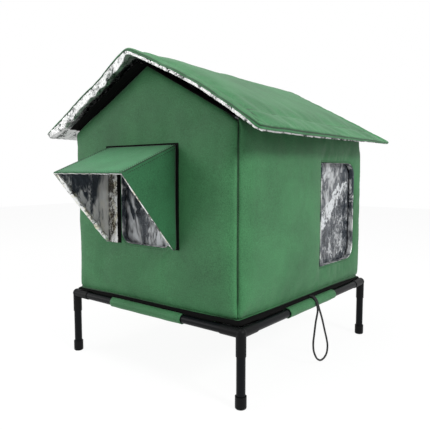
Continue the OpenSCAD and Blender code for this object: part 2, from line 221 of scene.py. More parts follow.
def evaluated_mesh(obj):
    """A new mesh from an object with its modifiers applied."""
    graph = bpy.context.evaluated_depsgraph_get()
    return bpy.data.meshes.new_from_object(obj.evaluated_get(graph), depsgraph=graph)


def settle(obj):
    """Applies an object's modifiers to its mesh."""
    old, mesh = obj.data, evaluated_mesh(obj)
    obj.modifiers.clear()
    obj.data = mesh
    mesh.name = obj.name
    bpy.data.meshes.remove(old)
    mesh.shade_smooth()
    return obj


def subdivide(obj, levels=1):
    modifier = obj.modifiers.new("Smooth", "SUBSURF")
    modifier.levels = modifier.render_levels = levels
    return settle(obj)


def thicken(obj, thickness, offset=-1.0):
    modifier = obj.modifiers.new("Thickness", "SOLIDIFY")
    modifier.thickness = thickness
    modifier.offset = offset
    return settle(obj)


def refine(ring, step, closed=True):
    """Adds points to a line so that no stretch is longer than step."""
    ends = ring[1:] + (ring[:1] if closed else [])
    fine = []
    for a, b in zip(ring, ends):
        count = max(1, math.ceil(math.dist(a, b) / step))
        fine += [tuple(np.add(a, np.subtract(b, a) * i / count)) for i in range(count)]
    return fine if closed else fine + [ring[-1]]


def rounded_ring(low, high, radii, step):
    """Anticlockwise points round a box. radii go from the lower left corner anticlockwise."""
    spots = [(low[0], low[1], 1, 1, 180), (high[0], low[1], -1, 1, 270),
             (high[0], high[1], -1, -1, 0), (low[0], high[1], 1, -1, 90)]
    ring = []
    for (x, y, inx, iny, start), r in zip(spots, radii):
        turns = max(2, round(r * math.pi / 2 / step)) if r else 0
        for i in range(turns + 1):
            a = math.radians(start + (90 * i / turns if turns else 0))
            ring.append((x + inx * r + r * math.cos(a), y + iny * r + r * math.sin(a)))
    return refine(ring, step)


def inset(ring, depth):
    """Moves an anticlockwise ring inwards, or a clockwise one outwards."""
    ring = np.asarray(ring, float)
    before = ring - np.roll(ring, 1, 0)
    after = np.roll(ring, -1, 0) - ring
    sides = []
    for run in (before, after):
        run = run / np.linalg.norm(run, axis=1)[:, None]
        sides.append(np.stack([-run[:, 1], run[:, 0]], 1))
    middle = sides[0] + sides[1]
    middle /= np.linalg.norm(middle, axis=1)[:, None]
    stretch = 1 / np.maximum(0.4, (middle * sides[0]).sum(1))
    return ring + middle * (depth * stretch)[:, None]


def line_distance(points, lines, closed=True):
    """Distance of each 2D point from the nearest of some lines."""
    points = np.asarray(points, float)
    best = np.full(len(points), np.inf)
    for line in lines:
        a = np.asarray(line, float)
        b = np.roll(a, -1, 0)
        if not closed:
            a, b = a[:-1], b[:-1]
        for start, along in zip(a, b - a):
            t = np.clip(((points - start) @ along) / (along @ along), 0, 1)
            best = np.minimum(best, np.linalg.norm(points - start - t[:, None] * along, axis=1))
    return best


def inside(points, ring):
    points = np.asarray(points, float)
    x, y = points[:, 0], points[:, 1]
    odd = np.zeros(len(points), bool)
    for (ax, ay), (bx, by) in zip(ring, ring[1:] + ring[:1]):
        if ay != by:
            crosses = (ay > y) != (by > y)
            odd ^= crosses & (x < ax + (y - ay) * (bx - ax) / (by - ay))
    return odd


def cloth_net(outline, holes=(), step=20 * MM, bands=(), seams=()):
    """A net of triangles in a flat outline. Gives points, triangles, the rings' points and the seams' points."""
    rings = [list(outline)] + [list(hole)[::-1] for hole in holes]
    points, edges, lines = [], [], []
    for line, closed in [(ring, True) for ring in rings] + [(seam, False) for seam in seams]:
        first, count = len(points), len(line)
        lines.append(list(range(first, first + count)))
        edges += [(first + i, first + (i + 1) % count) for i in range(count if closed else count - 1)]
        points += line
    spare = []
    for ring in rings:
        for depth in bands:
            band = inset(ring, depth)
            clear = line_distance(band, rings) > 0.85 * depth
            if seams:
                clear &= line_distance(band, seams, False) > 0.25 * step
            spare += [tuple(p) for p in band[clear]]
    for seam in seams:
        run = np.gradient(np.asarray(seam, float), axis=0)
        across = np.stack([-run[:, 1], run[:, 0]], 1) / np.linalg.norm(run, axis=1)[:, None]
        for side in (-SEAM_FLANK, SEAM_FLANK):
            row = np.asarray(seam) + side * across
            clear = (line_distance(row, seams, False) > 0.9 * SEAM_FLANK) & inside(row, rings[0])
            clear &= line_distance(row, rings) > max(bands) + 2 * MM
            spare += [(round(x, 6), round(y, 6)) for x, y in row[clear]]
    low, high = np.min(rings[0], 0), np.max(rings[0], 0)
    rise = step * math.sqrt(3) / 2
    grid = [(low[0] + (i + 0.5 * (j % 2)) * step, low[1] + j * rise)
            for j in range(int((high[1] - low[1]) / rise) + 1) for i in range(int((high[0] - low[0]) / step) + 1)]
    keep = inside(grid, rings[0]) & (line_distance(grid, rings) > (max(bands) if bands else 0) + 0.6 * step)
    for hole in holes:
        keep &= ~inside(grid, list(hole))
    if seams:
        keep &= line_distance(grid, seams, False) > SEAM_FLANK + 0.5 * step
    spare = list(dict.fromkeys(spare)) + [p for p, kept in zip(grid, keep) if kept]
    flat, _, faces, sources, _, _ = delaunay_2d_cdt([Vector(p) for p in points + spare], edges, [], 0, 1e-7)
    flat = np.array([tuple(p) for p in flat])
    place = {source: i for i, group in enumerate(sources) for source in group}
    middles = [flat[list(face)].mean(0) for face in faces]
    real = inside(middles, rings[0])
    for hole in holes:
        real &= ~inside(middles, list(hole))
    faces = [tuple(face) for face, kept in zip(faces, real) if kept]
    lines = [[place[i] for i in line] for line in lines]
    return flat, faces, lines[:len(rings)], lines[len(rings):]


def smooth_step(value):
    value = min(1.0, max(0.0, value))
    return value * value * (3 - 2 * value)


def mark_points(obj, name, values):
    """Keeps a number for each point of a mesh, for its material."""
    obj.data.attributes.new(name, "FLOAT", "POINT").data.foreach_set("value", [float(v) for v in values])


def padded_panel(name, place, outline, holes=(), step=20 * MM, bands=(), seams=(), thickness=WALL_T,
                 rounding=8 * MM, fall=8 * MM, levels=(), height=None, groove=3 * MM, hold=None, soft=False):
    """A closed pad with a rounded front, a flat back and sewn-down seams. place gives a point's place from its
    two coordinates on the flat cut and its height in the pad. levels are rows round the edge, as shares of
    height. Gives the object and its sewn points."""
    flat, faces, loops, sewn = cloth_net(outline, holes, step, bands, seams)
    distance = line_distance(flat, [outline] + ([] if soft else [list(h) for h in holes]))
    edge = np.minimum(distance, rounding) / rounding
    # near is high close to the outline and the seams: the cloth's material paints shade there and a highlight just
    # beside. On soft walls it fades above the hem, so the bottom edge gets no painted shade.
    near = line_distance(flat, [outline])
    if seams:
        near = np.minimum(near, line_distance(flat, seams, False))
    near = np.maximum(0, 1 - near / SEAM_REACH)
    if soft:
        above_hem = np.clip((flat[:, 1] - flat[:, 1].min()) / (30 * MM), 0, 1)
        near *= above_hem
        front = thickness - fall * (1 - edge) ** 2 - 3 * MM * above_hem * np.exp(-(distance / (3 * MM)) ** 2)
        if holes:
            rim = np.minimum(line_distance(flat, holes) / (7 * MM), 1)
            front = front - 2.5 * MM * (1 - rim) ** 2
    else:
        front = thickness - fall + fall * np.sqrt(np.maximum(1 - (1 - edge) ** 2, 0))
    if seams:
        front -= groove * np.exp(-(line_distance(flat, seams, False) / (6 * MM)) ** 2)
    count = len(flat)
    vertices = [place(u, v, w) for (u, v), w in zip(flat, front)] + [place(u, v, 0.0) for u, v in flat]
    shell = list(faces) + [tuple(count + i for i in reversed(face)) for face in faces]
    marks = [0] * len(faces) + [1] * len(faces)
    for loop in loops:
        rows = [[count + i for i in loop]]
        for level in levels:
            rows.append(list(range(len(vertices), len(vertices) + len(loop))))
            vertices += [place(*flat[i], level * height(*flat[i])) for i in loop]
        rows.append(loop)
        for number, (under, over) in enumerate(zip(rows, rows[1:]), 2):
            shell += quads(under, over)
            marks += [0 if number == len(rows) else 1] * len(loop)
    obj = new_object(name, vertices, shell)
    for _ in range(2):
        obj.data.materials.append(None)
    obj.data.polygons.foreach_set("material_index", marks)
    # The near_seam mark carries the painted shade and highlight of the seams and edges
    mark_points(obj, "near_seam", list(near) + [0.0] * (len(vertices) - count))
    held = set(range(count, len(vertices)))
    for line in loops + sewn:
        held.update(line)
    if hold:
        held.update(i for i, (u, v) in enumerate(flat) if hold(u, v))
    return outward(obj), held


def puff(obj, held, pressure, slack_share, most, frames=20):
    """Lets a pad's cloth swell between its sewn points by cloth simulation, by no more than a given length."""
    rest = coordinates(obj)
    obj.vertex_groups.new(name="sewn").add(sorted(held), 1.0, "REPLACE")
    modifier = obj.modifiers.new("Puff", "CLOTH")
    cloth = modifier.settings
    cloth.quality = 5
    cloth.mass = 0.4
    cloth.air_damping = 4.0
    cloth.vertex_group_mass = "sewn"
    cloth.use_pressure = True
    cloth.uniform_pressure_force = pressure
    cloth.shrink_min = -slack_share
    cloth.tension_stiffness = cloth.compression_stiffness = 18
    cloth.shear_stiffness = 8
    cloth.bending_stiffness = 1.5
    cloth.effector_weights.gravity = 0.0
    modifier.point_cache.frame_start, modifier.point_cache.frame_end = 1, frames
    scene = bpy.context.scene
    for step in range(1, frames + 1):
        scene.frame_set(step)
    graph = bpy.context.evaluated_depsgraph_get()
    swollen = np.array([tuple(v.co) for v in obj.evaluated_get(graph).data.vertices])
    obj.modifiers.clear()
    obj.vertex_groups.clear()
    scene.frame_set(1)
    move = swollen - rest
    size = np.linalg.norm(move, axis=1)[:, None]
    set_coordinates(obj, rest + move * most / (most + size))


def split_by_mark(obj, name):
    """Moves the faces marked 1 to a new object. Gives both objects."""
    sheets = []
    for number, title in enumerate((obj.name, name)):
        bm = bmesh.new()
        bm.from_mesh(obj.data)
        bmesh.ops.delete(bm, geom=[f for f in bm.faces if f.material_index != number], context="FACES")
        mesh = bpy.data.meshes.new(title)
        bm.to_mesh(mesh)
        bm.free()
        mesh.materials.clear()
        mesh.polygons.foreach_set("material_index", [0] * len(mesh.polygons))
        mesh.shade_smooth()
        sheets.append(mesh)
    old, obj.data = obj.data, sheets[0]
    bpy.data.meshes.remove(old)
    return obj, add_object(name, sheets[1])


def join(pieces, name):
    """Joins some objects to one, without any operator's context."""
    bm = bmesh.new()
    for piece in pieces:
        bm.from_mesh(piece.data)
    mesh = bpy.data.meshes.new(name)
    bm.to_mesh(mesh)
    bm.free()
    for piece in pieces:
        data = piece.data
        bpy.data.objects.remove(piece)
        bpy.data.meshes.remove(data)
    mesh.shade_smooth()
    return add_object(name, mesh)


CREASE_SEED = 1


def crease(point, size, seed):
    """A value from 0 on a crease to about 1 between creases."""
    p = Vector(point) / size + Vector((seed, 2 * seed, 3 * seed))
    p += 0.35 * noise.noise_vector(p * 0.7)
    near, far = noise.voronoi(p)[0][:2]
    ridge = min(1.0, (far - near) * 1.6)
    return 0.65 * ridge + 0.35 * abs(noise.noise(p * 2.3)) * 2


def crumple(obj, depth, size, seed=1.0, direction=None, keep=None):
    """Creases a foil sheet: its points sink by up to depth, against their normals or along a direction.
    keep gives each point's share of it."""
    # Without this, Blender takes the seed of noise_vector from the clock
    noise.seed_set(CREASE_SEED)
    moved = []
    for vertex in obj.data.vertices:
        share = 1.0 if keep is None else keep(vertex.co)
        way = -vertex.normal if direction is None else Vector(direction)
        moved.append(vertex.co + way * depth * share * (1 - crease(vertex.co, size, seed)))
    set_coordinates(obj, moved)


def finish_piece(obj, body, slot, finish, *nodes):
    """Gives a piece its finish and its body, and hides the CAD nodes that it stands for. slot is not used."""
    coat(obj, finish)
    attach(obj, body)
    if nodes:
        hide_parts(*nodes)


def coat(obj, finish):
    obj.data.materials.clear()
    obj.data.materials.append(material(finish))


def dress(finish, *names):
    """Gives CAD nodes that stay a better finish."""
    for name in names:
        coat(frame["nodes"][name], finish)


# ---- Material helpers ----


def set_inputs(node, **values):
    """Sets a node's inputs by their names, with _ for each space, or links them to sockets."""
    for key, value in values.items():
        socket = node.inputs[key.replace("_", " ")]
        if isinstance(value, bpy.types.NodeSocket):
            node.id_data.links.new(value, socket)
        else:
            socket.default_value = value
    return node


def add(tree, kind, **values):
    """A new node, with some of its settings and inputs."""
    node = tree.nodes.new(kind)
    settings = {key: values.pop(key) for key in list(values) if hasattr(node, key)}
    for key, value in settings.items():
        setattr(node, key, value)
    return set_inputs(node, **values)


def math_node(tree, operation, *values):
    node = add(tree, "ShaderNodeMath", operation=operation)
    for socket, value in zip(node.inputs, values):
        if isinstance(value, (int, float)):
            socket.default_value = value
        else:
            tree.links.new(value, socket)
    return node.outputs[0]


def about_zero(tree, source, factor, total):
    """Adds a pattern that lies round a half to a total, as a change up and down."""
    return math_node(tree, "MULTIPLY_ADD", math_node(tree, "SUBTRACT", source, 0.5), factor, total)


def ramp(tree, value, *stops):
    """A colour ramp from grey values: (place, grey) pairs."""
    node = tree.nodes.new("ShaderNodeValToRGB")
    elements = node.color_ramp.elements
    while len(elements) < len(stops):
        elements.new(0.5)
    for element, (place, grey) in zip(elements, stops):
        element.position = place
        element.color = (grey, grey, grey, 1)
    tree.links.new(value, node.inputs[0])
    return node.outputs[0]


def mix_colour(tree, factor, first, second, blend="MIX"):
    node = add(tree, "ShaderNodeMix", data_type="RGBA", blend_type=blend)
    for socket, value in ((node.inputs[0], factor), (node.inputs[6], first), (node.inputs[7], second)):
        if isinstance(value, (int, float)):
            socket.default_value = value
        elif isinstance(value, (tuple, list)) or hasattr(value, "hsv"):
            socket.default_value = (*value[:3], 1)
        else:
            tree.links.new(value, socket)
    return node.outputs[2]


def new_group(name, inputs, outputs):
    """A shader node group with a Vector, numbers that go in and numbers that come out, made once."""
    if name in bpy.data.node_groups:
        return bpy.data.node_groups[name], None, None
    tree = bpy.data.node_groups.new(name, "ShaderNodeTree")
    tree.interface.new_socket("Vector", in_out="INPUT", socket_type="NodeSocketVector")
    for title, default in inputs.items():
        tree.interface.new_socket(title, in_out="INPUT", socket_type="NodeSocketFloat").default_value = default
    for title in outputs:
        tree.interface.new_socket(title, in_out="OUTPUT", socket_type="NodeSocketFloat")
    return tree, tree.nodes.new("NodeGroupInput").outputs, tree.nodes.new("NodeGroupOutput")


def weave_group():
    """Crossed threads: Height for a bump, and Shade, a painted shade that is slightly darker between threads."""
    tree, come, go = new_group("Weave", {"Pitch": 0.0007}, ("Height", "Shade"))
    if come is None:
        return tree
    split = add(tree, "ShaderNodeSeparateXYZ", Vector=come["Vector"])
    turn = math_node(tree, "DIVIDE", 2 * math.pi, come["Pitch"])
    waves = [math_node(tree, "SINE", math_node(tree, "MULTIPLY", split.outputs[i], turn)) for i in range(3)]
    total = math_node(tree, "ADD", math_node(tree, "ADD", waves[0], waves[1]), waves[2])
    height = math_node(tree, "MULTIPLY_ADD", total, 0.17, 0.5)
    set_inputs(go, Height=height, Shade=math_node(tree, "MULTIPLY_ADD", height, 0.16, 0.92))
    return tree


def mottle_group():
    """Cloudy change over a surface: Shade round 1, and Soft, a slow height."""
    tree, come, go = new_group("Mottle", {"Scale": 5.0, "Amount": 0.12}, ("Shade", "Soft"))
    if come is None:
        return tree
    clouds = add(tree, "ShaderNodeTexNoise", Vector=come["Vector"], Scale=come["Scale"], Detail=4, Roughness=0.6)
    set_inputs(go, Shade=about_zero(tree, clouds.outputs[0], come["Amount"], 1.0), Soft=clouds.outputs[0])
    return tree


def crinkle_group():
    """Creased foil or film: Height for a bump, and Facet, a painted grey of light and shade that changes over each
    flat bit with its tilt and is lighter on the creases.
    """
    tree, come, go = new_group("Crinkle", {"Scale": 60.0, "Warp": 0.02, "Busy": 1.0}, ("Height", "Facet"))
    if come is None:
        return tree
    scale, middle = come["Scale"], (0.5, 0.5, 0.5)

    def vector(operation, first, second):
        node = add(tree, "ShaderNodeVectorMath", operation=operation)
        tree.links.new(first, node.inputs[0])
        if isinstance(second, tuple):
            node.inputs[1].default_value = second
        else:
            tree.links.new(second, node.inputs["Scale"] if operation == "SCALE" else node.inputs[1])
        return node.outputs["Value"] if operation == "DOT_PRODUCT" else node.outputs["Vector"]

    def clouds(factor, detail, distortion, place):
        return add(tree, "ShaderNodeTexNoise", Vector=place, Scale=math_node(tree, "MULTIPLY", scale, factor),
                   Detail=detail, Roughness=0.62, Distortion=distortion).outputs

    def cells(**values):
        return add(tree, "ShaderNodeTexVoronoi", Vector=moved, Scale=scale, **values).outputs

    centred = vector("SUBTRACT", clouds(0.5, 3, 0.0, come["Vector"])["Color"], middle)
    moved = vector("ADD", come["Vector"], vector("SCALE", centred, come["Warp"]))
    bits = cells()
    away = vector("SUBTRACT", moved, bits["Position"])
    tilt = vector("SUBTRACT", bits["Color"], middle)
    lean = vector("DOT_PRODUCT", vector("SCALE", away, scale), tilt)
    fine = clouds(1.5, 3.5, 1.4, moved)[0]
    streak = clouds(0.75, 1.5, 1.2, moved)[0]
    large = clouds(0.26, 1, 0.5, moved)[0]
    busy = ramp(tree, clouds(0.33, 1, 0.3, come["Vector"])[0], (0.40, 0.0), (0.60, 1.0))
    busy = math_node(tree, "MULTIPLY", busy, come["Busy"])
    line = ramp(tree, cells(feature="DISTANCE_TO_EDGE")["Distance"], (0.0, 1.0), (0.07, 0.0))
    ripple = math_node(tree, "MULTIPLY_ADD", lean, 0.8, math_node(tree, "MULTIPLY", line, 0.10))
    ripple = about_zero(tree, fine, 2.4, ripple)
    painted_facet = math_node(tree, "MULTIPLY_ADD", ripple, busy, 0.5)
    painted_facet = about_zero(tree, streak, 1.9, painted_facet)
    painted_facet = about_zero(tree, large, 1.7, painted_facet)
    set_inputs(go, Facet=painted_facet, Height=math_node(tree, "MULTIPLY_ADD", fine, 0.7,
                                                 math_node(tree, "MULTIPLY", lean, 0.8)))
    return tree


def new_material(name):
    """A node material: gives it, its tree, its shader and the object's coordinates."""
    made = bpy.data.materials.new(name)
    made.use_nodes = True
    tree = made.node_tree
    return made, tree, tree.nodes["Principled BSDF"], tree.nodes.new("ShaderNodeTexCoord").outputs["Object"]


def use_group(tree, group, place, **values):
    return add(tree, "ShaderNodeGroup", node_tree=group, Vector=place, **values).outputs


def bump(tree, height, distance, strength=1.0, **under):
    """A bump from a height, over another one if there is one under it."""
    return add(tree, "ShaderNodeBump", Height=height, Distance=distance, Strength=strength, **under).outputs[0]


def noise_node(tree, place, scale, detail, distortion=0.0):
    return add(tree, "ShaderNodeTexNoise", Vector=place, Scale=scale, Detail=detail, Distortion=distortion).outputs[0]


def mark(tree, name):
    """The number that mark_points kept."""
    return add(tree, "ShaderNodeAttribute", attribute_name=name).outputs["Fac"]


def cloth_material(name, colour, pitch=0.9 * MM, amount=1.2, sheen=0.12):
    """Coated woven polyester: fine threads, soft clouds of colour and a weak sheen, with painted shade along seams
    and edges, a painted highlight on the puffs beside them and painted shade on marked sides.
    """
    made, tree, shader, place = new_material(name)
    weave = use_group(tree, weave_group(), place, Pitch=pitch)
    clouds = use_group(tree, mottle_group(), place, Scale=6.0, Amount=amount)
    grain = use_group(tree, mottle_group(), place, Scale=400.0, Amount=1.4)
    # Painted shade on the seams and edges, where the near_seam mark is high, and a painted highlight on the puffed
    # cloth just beside them
    sewn = ramp(tree, mark(tree, "near_seam"), (0.0, 1.0), (0.40, 1.11), (0.70, 1.11), (0.79, 1.0), (0.94, 0.25))
    # Painted shade: points marked as a side, the awning's cheeks, are painted about a third darker
    sides = math_node(tree, "MULTIPLY_ADD", mark(tree, "side"), -0.32, 1.0)
    shade = weave["Shade"]
    for other in (clouds["Shade"], grain["Shade"], sewn, sides):
        shade = math_node(tree, "MULTIPLY", shade, other)
    folds = bump(tree, noise_node(tree, place, 16, 2), 5 * MM, 0.5)
    set_inputs(shader, Base_Color=mix_colour(tree, 1.0, colour, shade, "MULTIPLY"), Roughness=0.6,
               Specular_IOR_Level=0.35, Sheen_Weight=sheen, Sheen_Roughness=0.45,
               Normal=bump(tree, weave["Height"], 0.12 * MM, 0.6, Normal=folds))
    return made


def stretched(tree, place, amounts, shift=0.0):
    """Coordinates that make a pattern longer along some axes, and move it to another stretch of foil."""
    node = add(tree, "ShaderNodeVectorMath", operation="MULTIPLY_ADD")
    tree.links.new(place, node.inputs[0])
    node.inputs[1].default_value = amounts
    node.inputs[2].default_value = (shift,) * 3
    return node.outputs[0]


def foil_material(name, light, dark, scale=42.0, bright=0.06, stretch=(1, 1, 0.5), brown=0.0, cream=0.0,
                  band=0.0, metal=0.5, busy=1.0, shift=0.0, inner=0.0):
    """Crinkled foil: streaky bits of many greys with sharp creases, the greys being painted highlights, painted
    reflections and painted shade. bright moves the greys to the light end, band does so, with a ragged border,
    where the mesh's own band mark is above a half, and inner where its inside mark is. Two amounts give a brown
    tint to the dark bits and cream spots to the light bits."""
    made, tree, shader, place = new_material(name)
    place = stretched(tree, place, stretch, shift)
    fold = use_group(tree, crinkle_group(), place, Scale=scale, Warp=0.03, Busy=busy)
    painted_facet = math_node(tree, "ADD", fold["Facet"], bright)
    if band:
        border = about_zero(tree, noise_node(tree, place, 110.0, 3.0, 0.6), 0.7, mark(tree, "band"))
        painted_facet = math_node(tree, "MULTIPLY_ADD", ramp(tree, border, (0.47, 0.0), (0.53, 1.0)), band, painted_facet)
    if inner:
        within = mark(tree, "inside")
        painted_facet = math_node(tree, "MULTIPLY_ADD", within, inner, painted_facet)
        dark = mix_colour(tree, within, dark, looks().foil_dark)
    grey = ramp(tree, painted_facet, (0.22, 0.0), (0.42, 0.10), (0.50, 0.26), (0.58, 0.42), (0.66, 0.80), (0.85, 1.0))
    if brown or cream:
        tone = noise_node(tree, place, 60.0, 1.0)
        dark = mix_colour(tree, math_node(tree, "MULTIPLY", tone, brown), dark, (0.10, 0.065, 0.02))
        spot = math_node(tree, "MULTIPLY", ramp(tree, tone, (0.50, 0.0), (0.66, 1.0)), cream)
        light = mix_colour(tree, spot, light, (0.80, 0.74, 0.50))
    set_inputs(shader, Base_Color=mix_colour(tree, grey, dark, light), Metallic=metal,
               Roughness=ramp(tree, painted_facet, (0.2, 0.25), (0.8, 0.40)),
               Normal=bump(tree, fold["Height"], 3.0 * MM, 0.7))
    return made


def plastic_material(name, colour, roughness, grain, depth):
    """Black plastic with faint grain, handling marks and uneven gloss."""
    made, tree, shader, place = new_material(name)
    marks = use_group(tree, mottle_group(), place, Scale=38.0, Amount=0.5)
    set_inputs(shader, Base_Color=mix_colour(tree, 1.0, colour, marks["Shade"], "MULTIPLY"),
               Roughness=math_node(tree, "MULTIPLY_ADD", marks["Soft"], 0.25, roughness - 0.12),
               Specular_IOR_Level=0.12, Normal=bump(tree, noise_node(tree, place, grain, 3), depth, 0.5))
    return made


def tape_material(name, colour):
    """Fastening tape and binding: a dense field of tiny loops."""
    made, tree, shader, place = new_material(name)
    clouds = use_group(tree, mottle_group(), place, Scale=60.0, Amount=0.6)
    loops = add(tree, "ShaderNodeTexVoronoi", Vector=place, Scale=900.0)
    set_inputs(shader, Base_Color=mix_colour(tree, 1.0, colour, clouds["Shade"], "MULTIPLY"), Roughness=0.9,
               Specular_IOR_Level=0.1, Normal=bump(tree, loops.outputs["Distance"], 0.5 * MM, 0.7))
    return made


def film_material(name, colour, axis, low, high, glare, shift=0.0):
    """Clear soft film: hazy upright creases in painted greys, painted reflections, over a see-through sheet. With
    glare, it has one broad painted highlight from corner to corner, calm film above it and fine creases below."""
    made, tree, shader, place = new_material(name)
    upright = stretched(tree, place, (1, 1, 0.75 if glare else 0.42), shift)
    fold = use_group(tree, crinkle_group(), upright, Scale=46.0, Warp=0.03, Busy=0.5)
    painted_facet = math_node(tree, "ADD", fold["Facet"], 0.03 if glare else 0.17)
    if glare:
        split = add(tree, "ShaderNodeSeparateXYZ", Vector=place).outputs
        across, up = [math_node(tree, "DIVIDE", math_node(tree, "SUBTRACT", split[i], start), end - start)
                      for i, start, end in zip((axis, 2), low, high)]
        line = math_node(tree, "MULTIPLY_ADD", across, -0.58, math_node(tree, "SUBTRACT", up, 0.29))
        line = about_zero(tree, noise_node(tree, place, 30.0, 3.0), 0.30, line)
        middle = math_node(tree, "ABSOLUTE", math_node(tree, "SUBTRACT", across, 0.28))
        width = math_node(tree, "MULTIPLY_ADD", middle, 0.17, math_node(tree, "ABSOLUTE", line))
        glare_band = ramp(tree, width, (0.10, 0.8), (0.13, 0.0))
        above = ramp(tree, math_node(tree, "ADD", line, 0.5), (0.46, 0.0), (0.54, 1.0))
        small = use_group(tree, crinkle_group(), stretched(tree, place, (1, 1, 0.6)), Scale=120.0, Warp=0.02)
        calm = about_zero(tree, painted_facet, 0.45, 0.46)
        fine = about_zero(tree, small["Facet"], 0.55, 0.48)
        cuts = ramp(tree, small["Facet"], (0.34, 0.25), (0.44, 1.0))
        painted_facet = math_node(tree, "MULTIPLY_ADD", glare_band, cuts, mix_colour(tree, above, fine, calm))
    # Painted reflections on the film: greys that go past white, a painted highlight, and a blue tint on the darker
    # ones
    grey = ramp(tree, painted_facet, (0.24, 0.10), (0.42, 0.17), (0.50, 0.30), (0.58, 0.42), (0.66, 0.85), (0.9, 1.45))
    tint = mix_colour(tree, ramp(tree, painted_facet, (0.35, 0.0), (0.6, 1.0)), (0.50, 0.60, 0.74), colour)
    set_inputs(shader, Base_Color=mix_colour(tree, 1.0, tint, grey, "MULTIPLY"), Roughness=0.14,
               Specular_IOR_Level=0.3, Alpha=ramp(tree, painted_facet, (0.2, 0.66), (0.5, 0.80), (0.8, 0.96)),
               Normal=bump(tree, fold["Height"], 2.0 * MM, 0.5))
    return made


def cord_material(name, colour):
    """Braided cord: two sets of strands that cross, by the cord's own UV map, painted darker where the strands dip:
    painted shade.
    """
    made, tree, shader, _ = new_material(name)
    split = add(tree, "ShaderNodeSeparateXYZ", Vector=tree.nodes.new("ShaderNodeUVMap").outputs[0]).outputs
    around = math_node(tree, "MULTIPLY", split[0], 6 * 2 * math.pi)
    along = math_node(tree, "MULTIPLY", split[1], 2.4 * 2 * math.pi)
    strands = [math_node(tree, "SINE", math_node(tree, way, around, along)) for way in ("ADD", "SUBTRACT")]
    braid = math_node(tree, "MULTIPLY_ADD", math_node(tree, "MAXIMUM", *strands), 0.5, 0.5)
    set_inputs(shader, Base_Color=mix_colour(tree, braid, [0.3 * c for c in colour], colour), Roughness=0.7,
               Normal=bump(tree, braid, 0.35 * MM, 0.9))
    return made


def floor_material(name, white_share=0.86):
    """White to the camera and to mirrors, with a soft shadow; plain white card to other light."""
    made = bpy.data.materials.new(name)
    made.use_nodes = True
    tree = made.node_tree
    tree.nodes.clear()
    card = add(tree, "ShaderNodeBsdfDiffuse", Color=(0.8, 0.8, 0.8, 1))
    glow = add(tree, "ShaderNodeEmission", Color=(1, 1, 1, 1), Strength=1.09)

    def mix(share, first, second):
        node = tree.nodes.new("ShaderNodeMixShader")
        if isinstance(share, float):
            node.inputs[0].default_value = share
        else:
            tree.links.new(share, node.inputs[0])
        tree.links.new(first.outputs[0], node.inputs[1])
        tree.links.new(second.outputs[0], node.inputs[2])
        return node

    chosen = mix(seen_directly(tree), card, mix(white_share, card, glow))
    tree.links.new(chosen.outputs[0], tree.nodes.new("ShaderNodeOutputMaterial").inputs[0])
    return made


def seen_directly(tree):
    """1 for camera, glossy and transmission rays."""
    path = tree.nodes.new("ShaderNodeLightPath")
    first = math_node(tree, "MAXIMUM", path.outputs["Is Camera Ray"], path.outputs["Is Glossy Ray"])
    return math_node(tree, "MAXIMUM", first, path.outputs["Is Transmission Ray"])


def material(name):
    """The finish of that name, made when it is first asked for."""
    if name in bpy.data.materials:
        return bpy.data.materials[name]
    own = looks()
    light, dark = own.foil_light, own.foil_dark
    even = (1, 1, 1)
    makers = {
        "green cloth": lambda: cloth_material(name, own.cloth_colour),
        # The awning's cloth is a greener, brighter copy of the wall cloth: painted light for its well lit top
        "awning cloth": lambda: cloth_material(name, [c * k for c, k in zip(own.cloth_colour, (0.88, 1.12, 1.14))],
                                               sheen=0.16),
        "thread": lambda: cloth_material(name, own.thread_colour, 0.4 * MM, 0.1),
        # The awning's thread is painted far darker than the other thread: painted shade for the grooves of its seams
        "awning thread": lambda: cloth_material(name, [0.3 * c for c in own.thread_colour], 0.4 * MM, 0.1),
        # Every foil finish paints its greys: painted highlights, painted reflections and painted shade over each
        # crinkle
        "foil": lambda: foil_material(name, light, dark),
        "hood foil": lambda: foil_material(name, light, dark, scale=36.0, bright=0.03, stretch=(1, 1, 0.42),
                                           cream=0.2, band=0.3, metal=0.4, busy=0.9, shift=2.96),
        # The roof's foil: its outer band painted bright, its underside painted near-black green, painted shade with a
        # painted reflection of the green walls, but plain foil inside the walls
        "foil band": lambda: foil_material(name, [0.70 * c for c in light], (0.006, 0.019, 0.012), scale=90.0,
                                           bright=-0.36, stretch=even, band=0.70, metal=0.9, inner=0.44),
        "foil edge": lambda: foil_material(name, light, [0.5 * c for c in dark], scale=130.0, bright=-0.10,
                                           stretch=(1, 1, 0.7), brown=1.0, cream=0.6, band=0.36, metal=0.4),
        "foil roll": lambda: foil_material(name, light, dark, scale=95.0, bright=0.30, stretch=even,
                                           brown=0.6, cream=0.7, metal=0.9),
        "pipe": lambda: plastic_material(name, own.pipe_colour, 0.34, 220.0, 0.10 * MM),
        "fitting": lambda: plastic_material(name, own.fitting_colour, 0.42, 520.0, 0.16 * MM),
        "tape": lambda: tape_material(name, own.tape_colour),
        "front film": lambda: film_material(name, own.film_colour, 0, *FRONT_DOOR, False),
        "side film": lambda: film_material(name, own.film_colour, 1, *SIDE_DOOR, True, 1.11),
        "cord": lambda: cord_material(name, own.cord_colour),
        "floor": lambda: floor_material(name),
    }
    return makers[name]()


# ---- Stitches ----


